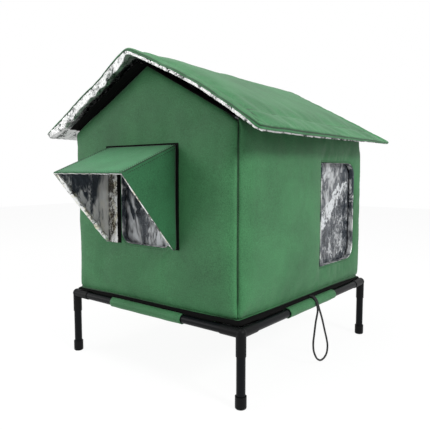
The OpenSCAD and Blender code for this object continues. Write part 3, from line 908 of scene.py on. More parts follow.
def stitch_tree():
    """Geometry nodes: short threads along a curve."""
    if "Stitches" in bpy.data.node_groups:
        return bpy.data.node_groups["Stitches"]
    tree = bpy.data.node_groups.new("Stitches", "GeometryNodeTree")
    for title, kind in (("Geometry", "Geometry"), ("Pitch", "Float"), ("Length", "Float"), ("Radius", "Float"),
                        ("Material", "Material")):
        tree.interface.new_socket(title, in_out="INPUT", socket_type="NodeSocket" + kind)
    tree.interface.new_socket("Geometry", in_out="OUTPUT", socket_type="NodeSocketGeometry")
    come, go = tree.nodes.new("NodeGroupInput").outputs, tree.nodes.new("NodeGroupOutput")
    half = math_node(tree, "MULTIPLY", come["Length"], 0.5)
    size = add(tree, "ShaderNodeCombineXYZ", X=come["Radius"], Y=come["Radius"], Z=half)
    spread = add(tree, "GeometryNodeResampleCurve", mode="LENGTH", Curve=come["Geometry"], Length=come["Pitch"])
    ball = add(tree, "GeometryNodeMeshUVSphere", Segments=6, Rings=4, Radius=1.0)
    tangent = tree.nodes.new("GeometryNodeInputTangent").outputs[0]
    turn = add(tree, "FunctionNodeAlignRotationToVector", axis="Z", Vector=tangent)
    copies = add(tree, "GeometryNodeInstanceOnPoints", Points=spread.outputs[0], Instance=ball.outputs["Mesh"],
                 Rotation=turn.outputs[0], Scale=size.outputs[0])
    real = add(tree, "GeometryNodeRealizeInstances", Geometry=copies.outputs[0])
    paint = add(tree, "GeometryNodeSetMaterial", Geometry=real.outputs[0], Material=come["Material"])
    set_inputs(go, Geometry=paint.outputs[0])
    return tree


def stitches(name, paths, body, thread="thread"):
    """One mesh of stitches along some paths of points."""
    data = bpy.data.curves.new(name, "CURVE")
    data.dimensions = "3D"
    for path in paths:
        spline = data.splines.new("POLY")
        spline.points.add(len(path) - 1)
        for point, place in zip(spline.points, path):
            point.co = (*place, 1)
    guide = add_object(name + "_guide", data)
    modifier = guide.modifiers.new("Stitches", "NODES")
    modifier.node_group = stitch_tree()
    own = looks()
    values = {"Pitch": own.stitch_pitch, "Length": own.stitch_length, "Radius": own.stitch_radius,
              "Material": material(thread)}
    for item in modifier.node_group.interface.items_tree:
        if item.in_out == "INPUT" and item.name in values:
            modifier[item.identifier] = values[item.name]
    mesh = evaluated_mesh(guide)
    bpy.data.objects.remove(guide)
    mesh.shade_smooth()
    finish_piece(add_object(name, mesh), body, "green_cloth", thread)


def on_surface(points, obj, direction, reach=0.05):
    """Drops points on an object's surface along a direction. Those that miss are left out."""
    graph = bpy.context.evaluated_depsgraph_get()
    tree = BVHTree.FromObject(obj, graph)
    way = Vector(direction).normalized()
    found = []
    for point in points:
        hit = tree.ray_cast(Vector(point) - way * reach, way, 2 * reach)
        if hit[0] is not None:
            found.append(hit[0])
    return found


def bead(name, path, radius, sides=8):
    """A thin tube along a path."""
    path = [Vector(p) for p in path]
    vertices = []
    for i, point in enumerate(path):
        way = (path[min(i + 1, len(path) - 1)] - path[max(i - 1, 0)]).normalized()
        side = way.cross(Vector((0.31, 0.52, 0.79))).normalized()
        over = way.cross(side)
        for k in range(sides):
            a = 2 * math.pi * k / sides
            vertices.append(point + radius * (math.cos(a) * side + math.sin(a) * over))
    ends = [tuple(range(sides)), tuple(range((len(path) - 1) * sides, len(path) * sides))]
    return outward(new_object(name, vertices, grid_faces(len(path), sides, True) + ends))


# ---- Stage ----


class CATHOUSE_OT_stage(Operator):
    """Camera at the photograph's viewing angle, white floor and soft light"""

    bl_idname = "cathouse.stage"
    bl_label = "Stage"

    camera_place = (0.8712, -1.0832, 0.5009)
    camera_turn = 38.602
    camera_drop = 4.945
    focal_px = 494.64
    frame_px = 430
    floor_reach = 6
    floor_gap = 0.2 * MM
    world_level = 0.22
    aim_z = 0.4
    # Name, place, size in metres and power in watts
    lamps = (("top", (-0.3, -0.6, 3.2), 2.4, 38), ("side", (3.0, -0.6, 2.2), 0.9, 57),
             ("front", (-2.4, -2.6, 1.3), 1.8, 26))

    def execute(self, context):
        scene = context.scene
        data = bpy.data.cameras.new("camera")
        data.sensor_width = 36
        data.lens = self.focal_px / self.frame_px * data.sensor_width
        camera = add_object("camera", data)
        camera.location = self.camera_place
        camera.rotation_euler = (math.radians(90 - self.camera_drop), 0, math.radians(self.camera_turn))
        scene.camera = camera
        scene.view_settings.view_transform = "Standard"
        far, down = self.floor_reach, -self.floor_gap
        floor = new_object("floor", [(-far, -far, down), (far, -far, down), (far, far, down), (-far, far, down)],
                           [(0, 1, 2, 3)])
        coat(floor, "floor")
        self.light_world(scene)
        for lamp in self.lamps:
            self.soft_lamp(*lamp)
        return {"FINISHED"}

    def light_world(self, scene):
        """White where it is seen, and a weaker even light on the object."""
        world = bpy.data.worlds.new("studio")
        world.use_nodes = True
        scene.world = world
        level = self.world_level
        strength = math_node(world.node_tree, "MULTIPLY_ADD", seen_directly(world.node_tree), 1 - level, level)
        set_inputs(world.node_tree.nodes["Background"], Color=(1, 1, 1, 1), Strength=strength)

    def soft_lamp(self, name, place, size, watts):
        data = bpy.data.lights.new(name, "AREA")
        data.shape = "DISK"
        data.size = size
        data.energy = watts
        lamp = add_object(name, data)
        lamp.location = place
        aim = Vector((0, MID_Y, self.aim_z)) - Vector(place)
        lamp.rotation_euler = aim.to_track_quat("-Z", "Y").to_euler()


# ---- Tether loop ----

CORD_D = 5 * MM
# The route of the cord, in metres from the middle of the stand
CORD_ROUTE = (
    (0.278, -0.006, 0.181), (0.283, -0.006, 0.181), (0.289, -0.006, 0.179), (0.294, -0.006, 0.174),
    (0.297, -0.005, 0.167), (0.298, -0.002, 0.157), (0.298, 0.001, 0.148), (0.298, 0.000, 0.139),
    (0.298, -0.004, 0.129), (0.298, -0.008, 0.119), (0.298, -0.011, 0.108), (0.298, -0.014, 0.095),
    (0.298, -0.017, 0.082), (0.298, -0.020, 0.069), (0.298, -0.020, 0.056), (0.298, -0.017, 0.043),
    (0.298, -0.010, 0.031), (0.298, -0.001, 0.020), (0.298, 0.010, 0.012), (0.298, 0.022, 0.007),
    (0.298, 0.035, 0.006), (0.298, 0.048, 0.009), (0.298, 0.058, 0.016), (0.298, 0.062, 0.027),
    (0.298, 0.062, 0.039), (0.298, 0.058, 0.051), (0.298, 0.053, 0.063), (0.298, 0.047, 0.075),
    (0.298, 0.041, 0.088), (0.298, 0.035, 0.101), (0.298, 0.029, 0.114), (0.298, 0.022, 0.127),
    (0.298, 0.015, 0.139), (0.298, 0.009, 0.149), (0.298, 0.004, 0.158), (0.297, 0.001, 0.167),
    (0.294, 0.000, 0.174), (0.289, 0.000, 0.179), (0.283, 0.000, 0.181), (0.278, 0.000, 0.181),
)


def smooth_path(points, per_stretch=6):
    """A smooth curve through some points."""
    points = [Vector(p) for p in points]
    ends = [2 * points[0] - points[1]] + points + [2 * points[-1] - points[-2]]
    path = []
    for a, b, c, d in zip(ends, ends[1:], ends[2:], ends[3:]):
        for i in range(per_stretch):
            t = i / per_stretch
            path.append(0.5 * (2 * b + (c - a) * t + (2 * a - 5 * b + 4 * c - d) * t * t
                               + (3 * b - a - 3 * c + d) * t * t * t))
    return path + [points[-1]]


class CATHOUSE_OT_tether(Operator):
    """Loop of braided cord that hangs from a tab at the right side"""

    bl_idname = "cathouse.tether"
    bl_label = "Tether loop"

    def execute(self, context):
        path = smooth_path([(x, y + MID_Y, z) for x, y, z in CORD_ROUTE])
        sides = looks().cord_sides
        obj = bead("tether_cord", path, CORD_D / 2, sides)
        self.map_braid(obj, path, sides)
        finish_piece(obj, "house", "black_cord", "cord", "tether_loop")
        length = sum((b - a).length for a, b in zip(path, path[1:]))
        tuple(path[0])
        [tuple(p) for p in path]
        dress("tape", "tether_tab")
        return {"FINISHED"}

    def map_braid(self, obj, path, sides):
        """U goes once round the cord and V counts its diameters."""
        run = [0.0]
        for a, b in zip(path, path[1:]):
            run.append(run[-1] + (b - a).length / CORD_D)
        layer = obj.data.uv_layers.new(name="UVMap")
        for polygon in obj.data.polygons:
            spots = [divmod(obj.data.loops[i].vertex_index, sides) for i in polygon.loop_indices]
            wraps = max(k for _, k in spots) - min(k for _, k in spots) > sides / 2
            for i, (row, k) in zip(polygon.loop_indices, spots):
                layer.data[i].uv = ((k + sides if wraps and k == 0 else k) / sides, run[row])


# ---- Stand ----


class CATHOUSE_OT_stand(Operator):
    """Pipes, corner connectors and foot caps in black plastic"""

    bl_idname = "cathouse.stand"
    bl_label = "Stand"

    def execute(self, context):
        corners = ("front_left", "front_right", "rear_left", "rear_right")
        dress("pipe", "rail_front", "rail_rear", "rail_left", "rail_right", *("leg_" + corner for corner in corners))
        for kind in ("connector_", "foot_cap_"):
            dress("fitting", *(kind + corner for corner in corners))
        return {"FINISHED"}


# ---- Base ----


class CATHOUSE_OT_base(Operator):
    """Cloth under the floor with its rail sleeves, the padded floor and its foil"""

    bl_idname = "cathouse.base"
    bl_label = "Base and floor"

    cloth_t = 1.6 * MM
    sleeve_low = -127 * MM
    sleeve_high = 117 * MM
    # Rows of points along a sleeve, and steps round the rail
    rows = 25
    turns = 26
    # Side of the square cut out of the sheet at each corner, for the connector
    notch = 62 * MM
    # The binding's section: how far out it is, as a share of its reach, or in mm inwards, and how far up
    profile = ((-4, 0.25), (-1, 0.0), (0.55, 0.0), (1.0, 0.22), (0.85, 0.52), (0.35, 0.85), (-1, 1.0), (-4, 1.0))

    def execute(self, context):
        self.base_sheet()
        self.floor_pad()
        self.floor_foil()
        self.floor_edge()
        return {"FINISHED"}

    def floor_edge(self):
        """Soft black binding round the floor. It rests on the rails and fills the slit under the walls."""
        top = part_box("floor_binding")[1].z
        rail_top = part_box("rail_front")[1].z
        edge = self.binding(top, rail_top)
        rail_x, rail_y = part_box("rail_right")[0].x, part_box("rail_rear")[0].y - MID_Y
        wide, deep = rail_x - 4.5 * MM, rail_y - 4.5 * MM
        loop = refine([(-wide, -deep), (wide, -deep), (wide, deep), (-wide, deep)], 12 * MM)
        skirt = []
        for level in range(3):
            z = rail_top - 0.5 * MM - 4.5 * MM * level
            for x, y in loop:
                wave = 0.8 * MM * noise.noise(Vector((x * 40, y * 40, level)))
                skirt.append((x * (1 - wave / wide), MID_Y + y * (1 - wave / deep), z))
        hanging = thicken(new_object("skirt", skirt, grid_faces(3, len(loop), True)), 1.2 * MM, 0.0)
        obj = join([edge, outward(hanging)], "floor_edge")
        finish_piece(obj, "house", "black_tape", "tape", "floor_binding")

    def binding(self, top, rail_top):
        """The tube round the floor's edge: close to the rails over the sleeves and corners, and lower between."""
        ring = rounded_ring((-HALF_W, -HALF_D), (HALF_W, HALF_D), (7 * MM,) * 4, 7 * MM)
        vertices, faces = [], []
        for (x, y), (far_x, far_y) in zip(ring, inset(ring, -1.0)):
            way_x, way_y = far_x - x, far_y - y
            along, half, reach = (x, HALF_W, 3.5 * MM) if abs(way_y) > abs(way_x) else (y, HALF_D, 6.5 * MM)
            free = smooth_step((half - abs(along) - 62 * MM) / (8 * MM))
            free *= smooth_step((abs(along + 5 * MM) - 124 * MM) / (8 * MM))
            foot = rail_top + 2.6 * MM - 2.3 * MM * free
            rise = slack(x, MID_Y + y, top - 1.5 * MM)[2] - foot
            rough = 0.9 * MM * noise.noise(Vector((x * 60, y * 60, 0.3)))
            for out, up in self.profile:
                off = out * (reach + rough) if out > 0 else out * MM
                vertices.append((x + way_x * off, MID_Y + y + way_y * off, foot + rise * up))
        size = len(self.profile)
        for i in range(len(ring)):
            j = (i + 1) % len(ring)
            faces += quads(range(i * size, (i + 1) * size), range(j * size, (j + 1) * size))
        return subdivide(outward(new_object("edge", vertices, faces)))

    def base_sheet(self):
        """The cloth under the floor, and a sleeve that turns round the middle of each rail."""
        low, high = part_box("base_cloth")
        rail_low, rail_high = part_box("rail_front")
        rail_z = (rail_low.z + rail_high.z) / 2
        outer, top = rail_z - low.z, high.z - rail_z
        front_y = (rail_low.y + rail_high.y) / 2
        side_x = (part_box("rail_right")[0].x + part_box("rail_right")[1].x) / 2
        places = {
            "front": lambda along, out, z: (along, front_y - out, z),
            "rear": lambda along, out, z: (along, 2 * MID_Y - front_y + out, z),
            "right": lambda along, out, z: (side_x + out, along + MID_Y, z),
            "left": lambda along, out, z: (-side_x - out, along + MID_Y, z),
        }
        pieces = [self.sleeve(name, place, top, outer, rail_z) for name, place in places.items()]
        wide, deep = HALF_W - 1 * MM, HALF_D - 1 * MM
        in_x, in_y = side_x - 15 * MM, MID_Y - front_y - 15 * MM
        arm = self.notch
        corner = [(wide - arm, deep), (wide - arm, in_y), (in_x, in_y), (in_x, deep - arm), (wide, deep - arm)]
        ring = [(x, y) for x, y in reversed(corner)] + [(-x, y) for x, y in corner]
        ring += [(-x, -y) for x, y in reversed(corner)] + [(x, -y) for x, y in corner]
        ring = refine([(x, MID_Y + y) for x, y in ring], 20 * MM)
        flat, faces, _, _ = cloth_net(ring, step=40 * MM)
        sag = [0.2 * MM + 1.2 * MM * abs(noise.noise(Vector((x * 9, y * 9, 0)))) for x, y in flat]
        sheet = new_object("sheet", [(x, y, high.z - down) for (x, y), down in zip(flat, sag)], faces)
        pieces.append(thicken(subdivide(sheet), self.cloth_t))
        finish_piece(join(pieces, "base_sleeves"), "house", "green_cloth", "green cloth", "base_cloth")

    def sleeve(self, name, place, top, outer, rail_z):
        """Cloth that leaves the sheet, turns round the rail and comes back."""
        line = [(-24 * MM, top)] + [(-10 * MM * (1 - i / 3), top) for i in range(3)]
        for i in range(self.turns + 1):
            a = math.radians(90 - 336 * i / self.turns)
            line.append((outer * math.cos(a), outer * math.sin(a)))
        vertices = []
        for row in range(self.rows):
            along = self.sleeve_low + (self.sleeve_high - self.sleeve_low) * row / (self.rows - 1)
            for step, (out, up) in enumerate(line):
                ripple = 0.0
                if step > 3:
                    spot = Vector((along * 30, step * 0.35, len(name)))
                    ripple = 0.55 * MM * noise.noise(spot) + 0.25 * MM * noise.noise(spot * 3.1)
                    ripple -= 0.3 * MM if row in (1, self.rows - 2) else 0
                grow = 1 + ripple / math.hypot(out, up)
                vertices.append(place(along, out * grow, up * grow + rail_z))
        obj = new_object(name, vertices, grid_faces(self.rows, len(line)))
        return outward(thicken(subdivide(obj), self.cloth_t, 0.0))

    def floor_pad(self):
        low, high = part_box("floor_foam")
        ring = rounded_ring((low.x, low.y), (high.x, high.y), (6 * MM,) * 4, 30 * MM)
        obj, _ = padded_panel("floor_pad", lambda u, v, w: (u, v, low.z + w), ring, step=60 * MM,
                              bands=(2 * MM, 5 * MM), thickness=high.z - low.z, rounding=3 * MM, fall=3 * MM)
        finish_piece(obj, "house", "foam_pad", "green cloth", "floor_foam")

    def floor_foil(self):
        low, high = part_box("floor_lining")
        ring = rounded_ring((low.x, low.y), (high.x, high.y), (4 * MM,) * 4, 16 * MM)
        flat, faces, _, _ = cloth_net(ring, step=16 * MM)
        obj = new_object("floor_foil", [(x, y, high.z) for x, y in flat], faces)
        crumple(obj, 0.7 * MM, 30 * MM, 4.0, (0, 0, -1))
        thicken(obj, 0.3 * MM)
        finish_piece(obj, "house", "foil_lining", "foil", "floor_lining")


# ---- Walls ----


def roof_line(x):
    """Height of the gable's slope at a distance from the middle."""
    return APEX_Z - abs(x) * SLOPE


def wall_ring(half, low, edge, peak=None):
    """A wall's outline from its half width and the heights of its foot, its top and a gable's peak."""
    top = [(0, peak)] if peak else []
    return refine([(-half, low), (half, low), (half, edge), *top, (-half, edge)], 14 * MM)


def door_ring(name, step, grow=0.0):
    """A doorway's outline on its wall's flat cut, or a ring that lies outside it."""
    (low_u, low_v), (high_u, high_v) = FRONT_DOOR if name == "front" else SIDE_DOOR
    middle, near, far = (0, FRONT_DOOR_R + grow, FRONT_DOOR_R + grow) if name == "front" else (
        MID_Y, 2 * MM, SIDE_DOOR_R + grow)
    ring = rounded_ring((low_u - grow, low_v - grow), (high_u + grow, high_v + grow), (near, far, far, near), step)
    return [(u - middle, v) for u, v in ring]


def mitre(u, w, half):
    """How far a wall's end draws in behind its outer face, so that two walls meet at 45 degrees."""
    near = smooth_step((abs(u) - half + 60 * MM) / (60 * MM))
    return math.copysign((WALL_T - w) * near, u)


# Where the hem rises, or hangs: the corner's sides in X and Y, and by how much
HEM_LIFTS = ((1, -1, 3.5 * MM), (-1, -1, -3.0 * MM), (1, 1, -4.0 * MM))
HEM_REACH = 120 * MM
LEAN = 4 * MM
LEAN_HIGH = 9 * MM
REAR_SWELL = 13 * MM


def slack(x, y, z):
    """How the stuffed walls stray from their pattern: the front left corner leans out, the rear wall swells,
    and the hem rides up at the front right corner and hangs at its two neighbours."""
    high = (z - FLOOR_Z) / (APEX_Z - FLOOR_Z)
    free = 1 - smooth_step((z - roof_line(x) + 60 * MM) / (26 * MM))
    left = smooth_step((-x - 0.5 * HALF_W) / (0.5 * HALF_W)) * smooth_step((MID_Y + 0.2 - y) / 0.45)
    rear = smooth_step((y - REAR_Y + 48 * MM) / (44 * MM))
    low = smooth_step(1 - (z - FLOOR_Z) / (90 * MM))
    lift = 0.0
    for sign_x, sign_y, amount in HEM_LIFTS:
        reach = math.hypot(x - sign_x * HALF_W, y - MID_Y - sign_y * HALF_D)
        lift += amount * math.exp(-(reach / HEM_REACH) ** 2)
    return (x - (LEAN + LEAN_HIGH * high) * left, y + REAR_SWELL * rear * free, z + lift * low)


FLAT_WALLS = {
    "front": lambda u, v, w: (u, FRONT_Y + WALL_T - w, v),
    "rear": lambda u, v, w: (-u, REAR_Y - WALL_T + w, v),
    "right": lambda u, v, w: (HALF_W - WALL_T + w, MID_Y + u, v),
    "left": lambda u, v, w: (-HALF_W + WALL_T - w, MID_Y - u, v),
}
GABLES = ("front", "rear")
DOOR_WALLS = ("front", "right")


def under_roof(v, w):
    """A side wall's top leans with the roof."""
    top = APEX_Z - HALF_W * SLOPE
    return (WALL_T - w) * SLOPE * smooth_step((v - top + 50 * MM) / (50 * MM))


def cloth_place(name, u, v, w):
    """The place of a point of a wall's cloth, from its flat cut and its height in the pad."""
    if name in GABLES:
        return slack(*FLAT_WALLS[name](u - mitre(u, w, HALF_W), v, w))
    return slack(*FLAT_WALLS[name](u - mitre(u, w, HALF_D), v + under_roof(v, w), w))


class CATHOUSE_OT_walls(Operator):
    """Four padded cloth walls, sewn together at the corners"""

    bl_idname = "cathouse.walls"
    bl_label = "Walls"

    step = 22 * MM
    back_gap = 3 * MM
    top_gap = 1.5 * MM
    hem = 2 * MM

    def execute(self, context):
        low, edge = FLOOR_Z - self.hem, roof_line(HALF_W) - self.top_gap
        gable = wall_ring(HALF_W, low, edge, APEX_Z - self.top_gap)
        side = wall_ring(HALF_D, low, edge)
        for name in FLAT_WALLS:
            holes = [door_ring(name, 7 * MM, FOIL_T)] if name in DOOR_WALLS else []
            if name in GABLES:
                self.wall(name, gable, holes, self.under_tape)
            else:
                self.wall(name, side, holes)
        self.door_stitches()
        return {"FINISHED"}

    def wall(self, name, outline, holes, taped=None):
        own = looks()
        back = self.back_gap

        def place(u, v, w):
            """The cloth isn't quite even: it rises and falls a little from place to place."""
            spot = Vector((u * 8, v * 8, len(name)))
            uneven = 1.8 * MM * noise.noise(spot) + 0.9 * MM * noise.noise(spot * 2.6)
            if taped and taped(u, v):
                uneven = 0
            return cloth_place(name, u, v, w + back + uneven * w / WALL_T)

        obj, held = padded_panel(name + "_wall_cloth", place, outline, holes, self.step,
                                 (2 * MM, 5 * MM, 10 * MM, 17 * MM), thickness=WALL_T - back,
                                 rounding=own.edge_round, fall=9 * MM, soft=True, hold=taped)
        puff(obj, held, 6.0, 0.006, own.wall_puff)
        subdivide(obj)
        finish_piece(obj, "house", "green_cloth", "green cloth", name + "_wall_cover", name + "_wall_foam")

    def under_tape(self, u, v):
        """Whether the cloth is held flat by tape: round the front door or along the slopes."""
        low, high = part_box("door_hook_tape")
        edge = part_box("awning_flanges")[0].x
        beside = high.x - 26 * MM < u < high.x + 6 * MM or edge - 8 * MM < u < low.x + 58 * MM
        above = edge - 8 * MM < u < high.x + 6 * MM and v > high.z - 26 * MM
        round_door = low.z - 6 * MM < v < high.z + 6 * MM and (beside or above)
        return round_door or v > roof_line(u) - 34 * MM

    def door_stitches(self):
        """One row of stitches round each doorway."""
        front = [cloth_place("front", u, v, WALL_T) for u, v in door_ring("front", 4 * MM, 6 * MM)]
        side = [FLAT_WALLS["right"](u, v, WALL_T) for u, v in door_ring("right", 4 * MM, 6 * MM)]
        cloth = bpy.data.objects
        rows = [on_surface(front, cloth["front_wall_cloth"], (0, 1, 0)),
                on_surface(side, cloth["right_wall_cloth"], (-1, 0, 0))]
        stitches("door_stitches", [row + row[:1] for row in rows], "house")


# ---- Foil linings of the walls ----


class CATHOUSE_OT_linings(Operator):
    """Crumpled foil on the inside of the walls and through the doorways"""

    bl_idname = "cathouse.linings"
    bl_label = "Wall linings"

    step = 14 * MM
    # How far the foil stands out of the doorway
    lip = 1.2 * MM

    def execute(self, context):
        half = HALF_W - 11 * MM
        gable = wall_ring(half, FLOOR_Z, roof_line(half) - 3 * MM, APEX_Z - 3 * MM)
        deep = HALF_D - WALL_T - 0.5 * MM
        side = wall_ring(deep, FLOOR_Z + FOIL_T, roof_line(HALF_W - WALL_T) - 2 * MM)
        for name, place in FLAT_WALLS.items():
            self.lining(name, gable if name in GABLES else side, place)
        return {"FINISHED"}

    def lining(self, name, outline, place):
        """A foil sheet on the inner face, with a sleeve through the doorway."""
        doors = [door_ring(name, 6 * MM)] if name in DOOR_WALLS else []
        flat, faces, loops, _ = cloth_net(outline, doors, self.step)
        vertices = [place(u, v, 0.0) for u, v in flat]
        for loop in loops[1:]:
            row = loop
            for depth in (0.33 * WALL_T, 0.66 * WALL_T, WALL_T + self.lip):
                outer = range(len(vertices), len(vertices) + len(row))
                vertices += [place(*flat[i], depth) for i in loop]
                faces += quads(row, outer)
                row = outer
        obj = outward(new_object(name + "_wall_foil", vertices, faces))
        subdivide(obj)
        sheet, out = Vector(place(0, 0.4, 0.0)), Vector(place(0, 0.4, 1.0))
        axis = 1 if name in GABLES else 0

        def flat_share(point):
            return 1.0 if abs(point[axis] - sheet[axis]) < 1 * MM else 0.0

        crumple(obj, looks().crumple, 26 * MM, 2.0 + axis, out - sheet, flat_share)
        thicken(obj, 0.4 * MM, 0.0)
        finish_piece(obj, "house", "foil_lining", "foil", name + "_wall_lining")


# ---- Roof ----


class CATHOUSE_OT_roof(Operator):
    """Padded roof of two slopes: cloth above, foil round the edges and below"""

    bl_idname = "cathouse.roof"
    bl_label = "Roof"

    step = 20 * MM
    end_seam = 42 * MM
    hem_seam = 24 * MM
    eave_seam = 70 * MM
    corner_r = 9 * MM
    # The stretch that bends at the ridge: from this far on the left half to this far on the right one
    bend_start = 6 * MM
    bend_reach = 20 * MM
    # How the stuffed roof strays from two flat slopes
    ridge_dip = 2.5 * MM
    ridge_rise = 6 * MM
    ridge_sag = 2 * MM
    ridge_ahead = 17 * MM
    belly = 15 * MM
    corner_fold = 4.5 * MM
    left_rise = 13 * MM
    left_draw = 1 * MM
    right_flare = 6 * MM
    rear_draw = 4 * MM

    def execute(self, context):
        own = looks()
        end, deep = ROOF_END, ROOF_HALF_D
        outline = rounded_ring((-end, -deep), (end, deep), (self.corner_r,) * 4, 9 * MM)
        y_seam, y_hem, s_seam = deep - self.end_seam, deep - self.hem_seam, end - self.eave_seam
        seams = [refine([(-end + 9 * MM, y), (end - 9 * MM, y)], 15 * MM, False)
                 for y in (-y_seam, y_seam, -y_hem, y_hem)]
        seams += [refine([(s, -y_seam + 9 * MM), (s, y_seam - 9 * MM)], 15 * MM, False) for s in (-s_seam, s_seam)]
        obj, held = padded_panel("roof_cloth", self.place, outline, (), self.step, (3 * MM, 10 * MM), seams,
                                 thickness=ROOF_T, rounding=7 * MM, fall=5 * MM, levels=(0.33, 0.66, 1.0),
                                 height=self.foil_top, groove=6 * MM)
        puff(obj, held, 9.0, 0.018, own.roof_puff)
        subdivide(obj)
        cloth, foil = split_by_mark(obj, "roof_foil")
        crumple(foil, own.crumple * 1.3, 17 * MM, 7.0)
        self.mark_band(foil)
        rows = [on_surface([self.place(s, y, ROOF_T) for s, y in refine(seam, 4 * MM, False)], cloth, (0, 0, -1))
                for seam in seams]
        thicken(cloth, 0.8 * MM)
        thicken(foil, 0.5 * MM)
        self.bend(cloth, "green_cloth", "green cloth", "roof_left_cover", "roof_left_foam", "roof_right_cover",
                  "roof_right_foam")
        self.bend(foil, "foil_lining", "foil band", "roof_left_lining", "roof_right_lining")
        for body, sign in (("roof_left_half", -1), ("roof_right_half", 1)):
            own_rows = [[p for p in row if p.x * sign > self.bend_reach] for row in rows]
            stitches(body + "_stitches", [row for row in own_rows if len(row) > 1], body)
        # The roof's tapes are real fastening tape; the strip of them in front of the gables is a dark sheet that
        # stands for the shade under the overhang: painted shade
        dress("tape", "roof_left_tape", "roof_right_tape")
        return {"FINISHED"}

    def mark_band(self, foil):
        """Marks how far a point is outside the border between the foil's outer band, 1, which its material paints
        bright, and its underside, 0, which it paints in dark green shade, and how far it is inside the walls, where
        it paints plain foil."""
        inner = (ROOF_END - self.corner_r) * math.cos(PITCH)
        bands, insides = [], []
        for vertex in foil.data.vertices:
            x, y = vertex.co.x, vertex.co.y - MID_Y
            left = smooth_step(0.5 - x / (40 * MM)) * smooth_step(0.5 - y / 0.2)
            past = max(abs(y) - ROOF_HALF_D + (12 + 9 * left) * MM, abs(x) - inner + 45 * MM * left)
            bands.append(min(1.0, max(0.0, 0.5 + past / BAND_REACH)))
            depth = min(HALF_W - WALL_T - abs(x), HALF_D - WALL_T - abs(y))
            insides.append(smooth_step(depth / (20 * MM)))
        mark_points(foil, "band", bands)
        mark_points(foil, "inside", insides)

    def foil_top(self, s, y):
        """How far up the edge the foil reaches: higher on the left slope."""
        eave = smooth_step((s - ROOF_END + 40 * MM) / (30 * MM))
        return (8.5 + 5 * smooth_step(0.5 - s / (60 * MM)) - 4.5 * eave) * MM

    def bend(self, obj, slot, finish, *nodes):
        """Gives a sheet that runs from the left half over the ridge to the right one its finish, bakes its place into
        its mesh and hides the CAD nodes that it stands for.
        """
        coat(obj, finish)
        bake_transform(obj)
        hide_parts(*nodes)

    def place(self, s, y, w):
        """From a point on the flat cut, and a height in the pad, to its place on the two slopes."""
        corner = smooth_step((s / ROOF_END - 0.3) / 0.7) * smooth_step((y / ROOF_HALF_D + 0.4) / 1.4)
        roll = smooth_step((-y - ROOF_HALF_D + 32 * MM) / (20 * MM)) * smooth_step(-s / (30 * MM))
        roll *= smooth_step((ROOF_END - abs(s)) / (55 * MM)) * (0.95 + 0.45 * noise.noise(Vector((s * 45, 0, 4))))
        depth = (ROOF_T - w) * (1 - 0.5 * corner + roll)
        reach = abs(s)
        run = reach + depth * SLOPE * math.exp(-reach / (20 * MM))
        x = math.copysign(run * math.cos(PITCH) - depth * math.sin(PITCH), s)
        z = RIDGE_Z - run * math.sin(PITCH) - depth * math.cos(PITCH)
        front = smooth_step(0.5 - y / (2 * ROOF_HALF_D))
        rear = 1 - front
        out = (reach / ROOF_END) ** 2
        ridge = math.exp(-(reach / (110 * MM)) ** 2)
        z -= self.ridge_dip * math.exp(-(reach / (14 * MM)) ** 2)
        z += ridge * (self.ridge_rise * front - self.ridge_sag * rear)
        z += self.belly * math.sin(math.pi * min(1.0, reach / ROOF_END)) * front ** 3
        y -= self.ridge_ahead * ridge * front ** 3
        spot = Vector((s * 7, y * 7, 0.5))
        z += 2.6 * MM * noise.noise(spot) + 1.3 * MM * noise.noise(spot * 2.7)
        y += 2.0 * MM * noise.noise(spot * 1.9 + Vector((9, 0, 0))) * (abs(y) / ROOF_HALF_D) ** 6
        z -= self.corner_fold * self.fold_share(s, y) * w / ROOF_T
        if s < 0:
            z += self.left_rise * front ** 2 * out
            x += self.left_draw * front ** 2 * out
        else:
            x += self.right_flare * front ** 2 * out - self.rear_draw * rear ** 2 * out
        return (x, MID_Y + y, z)

    def fold_share(self, s, y):
        """1 in the middle of the fold that runs off the front right corner, and 0 away from it."""
        across, along = s - ROOF_END, y + ROOF_HALF_D
        off = (across + 1.6 * along) / 1.9
        return (math.exp(-(off / (7 * MM)) ** 2)
                * math.exp(-((math.hypot(across, along) - 45 * MM) / (38 * MM)) ** 2))


# ---- Awning ----


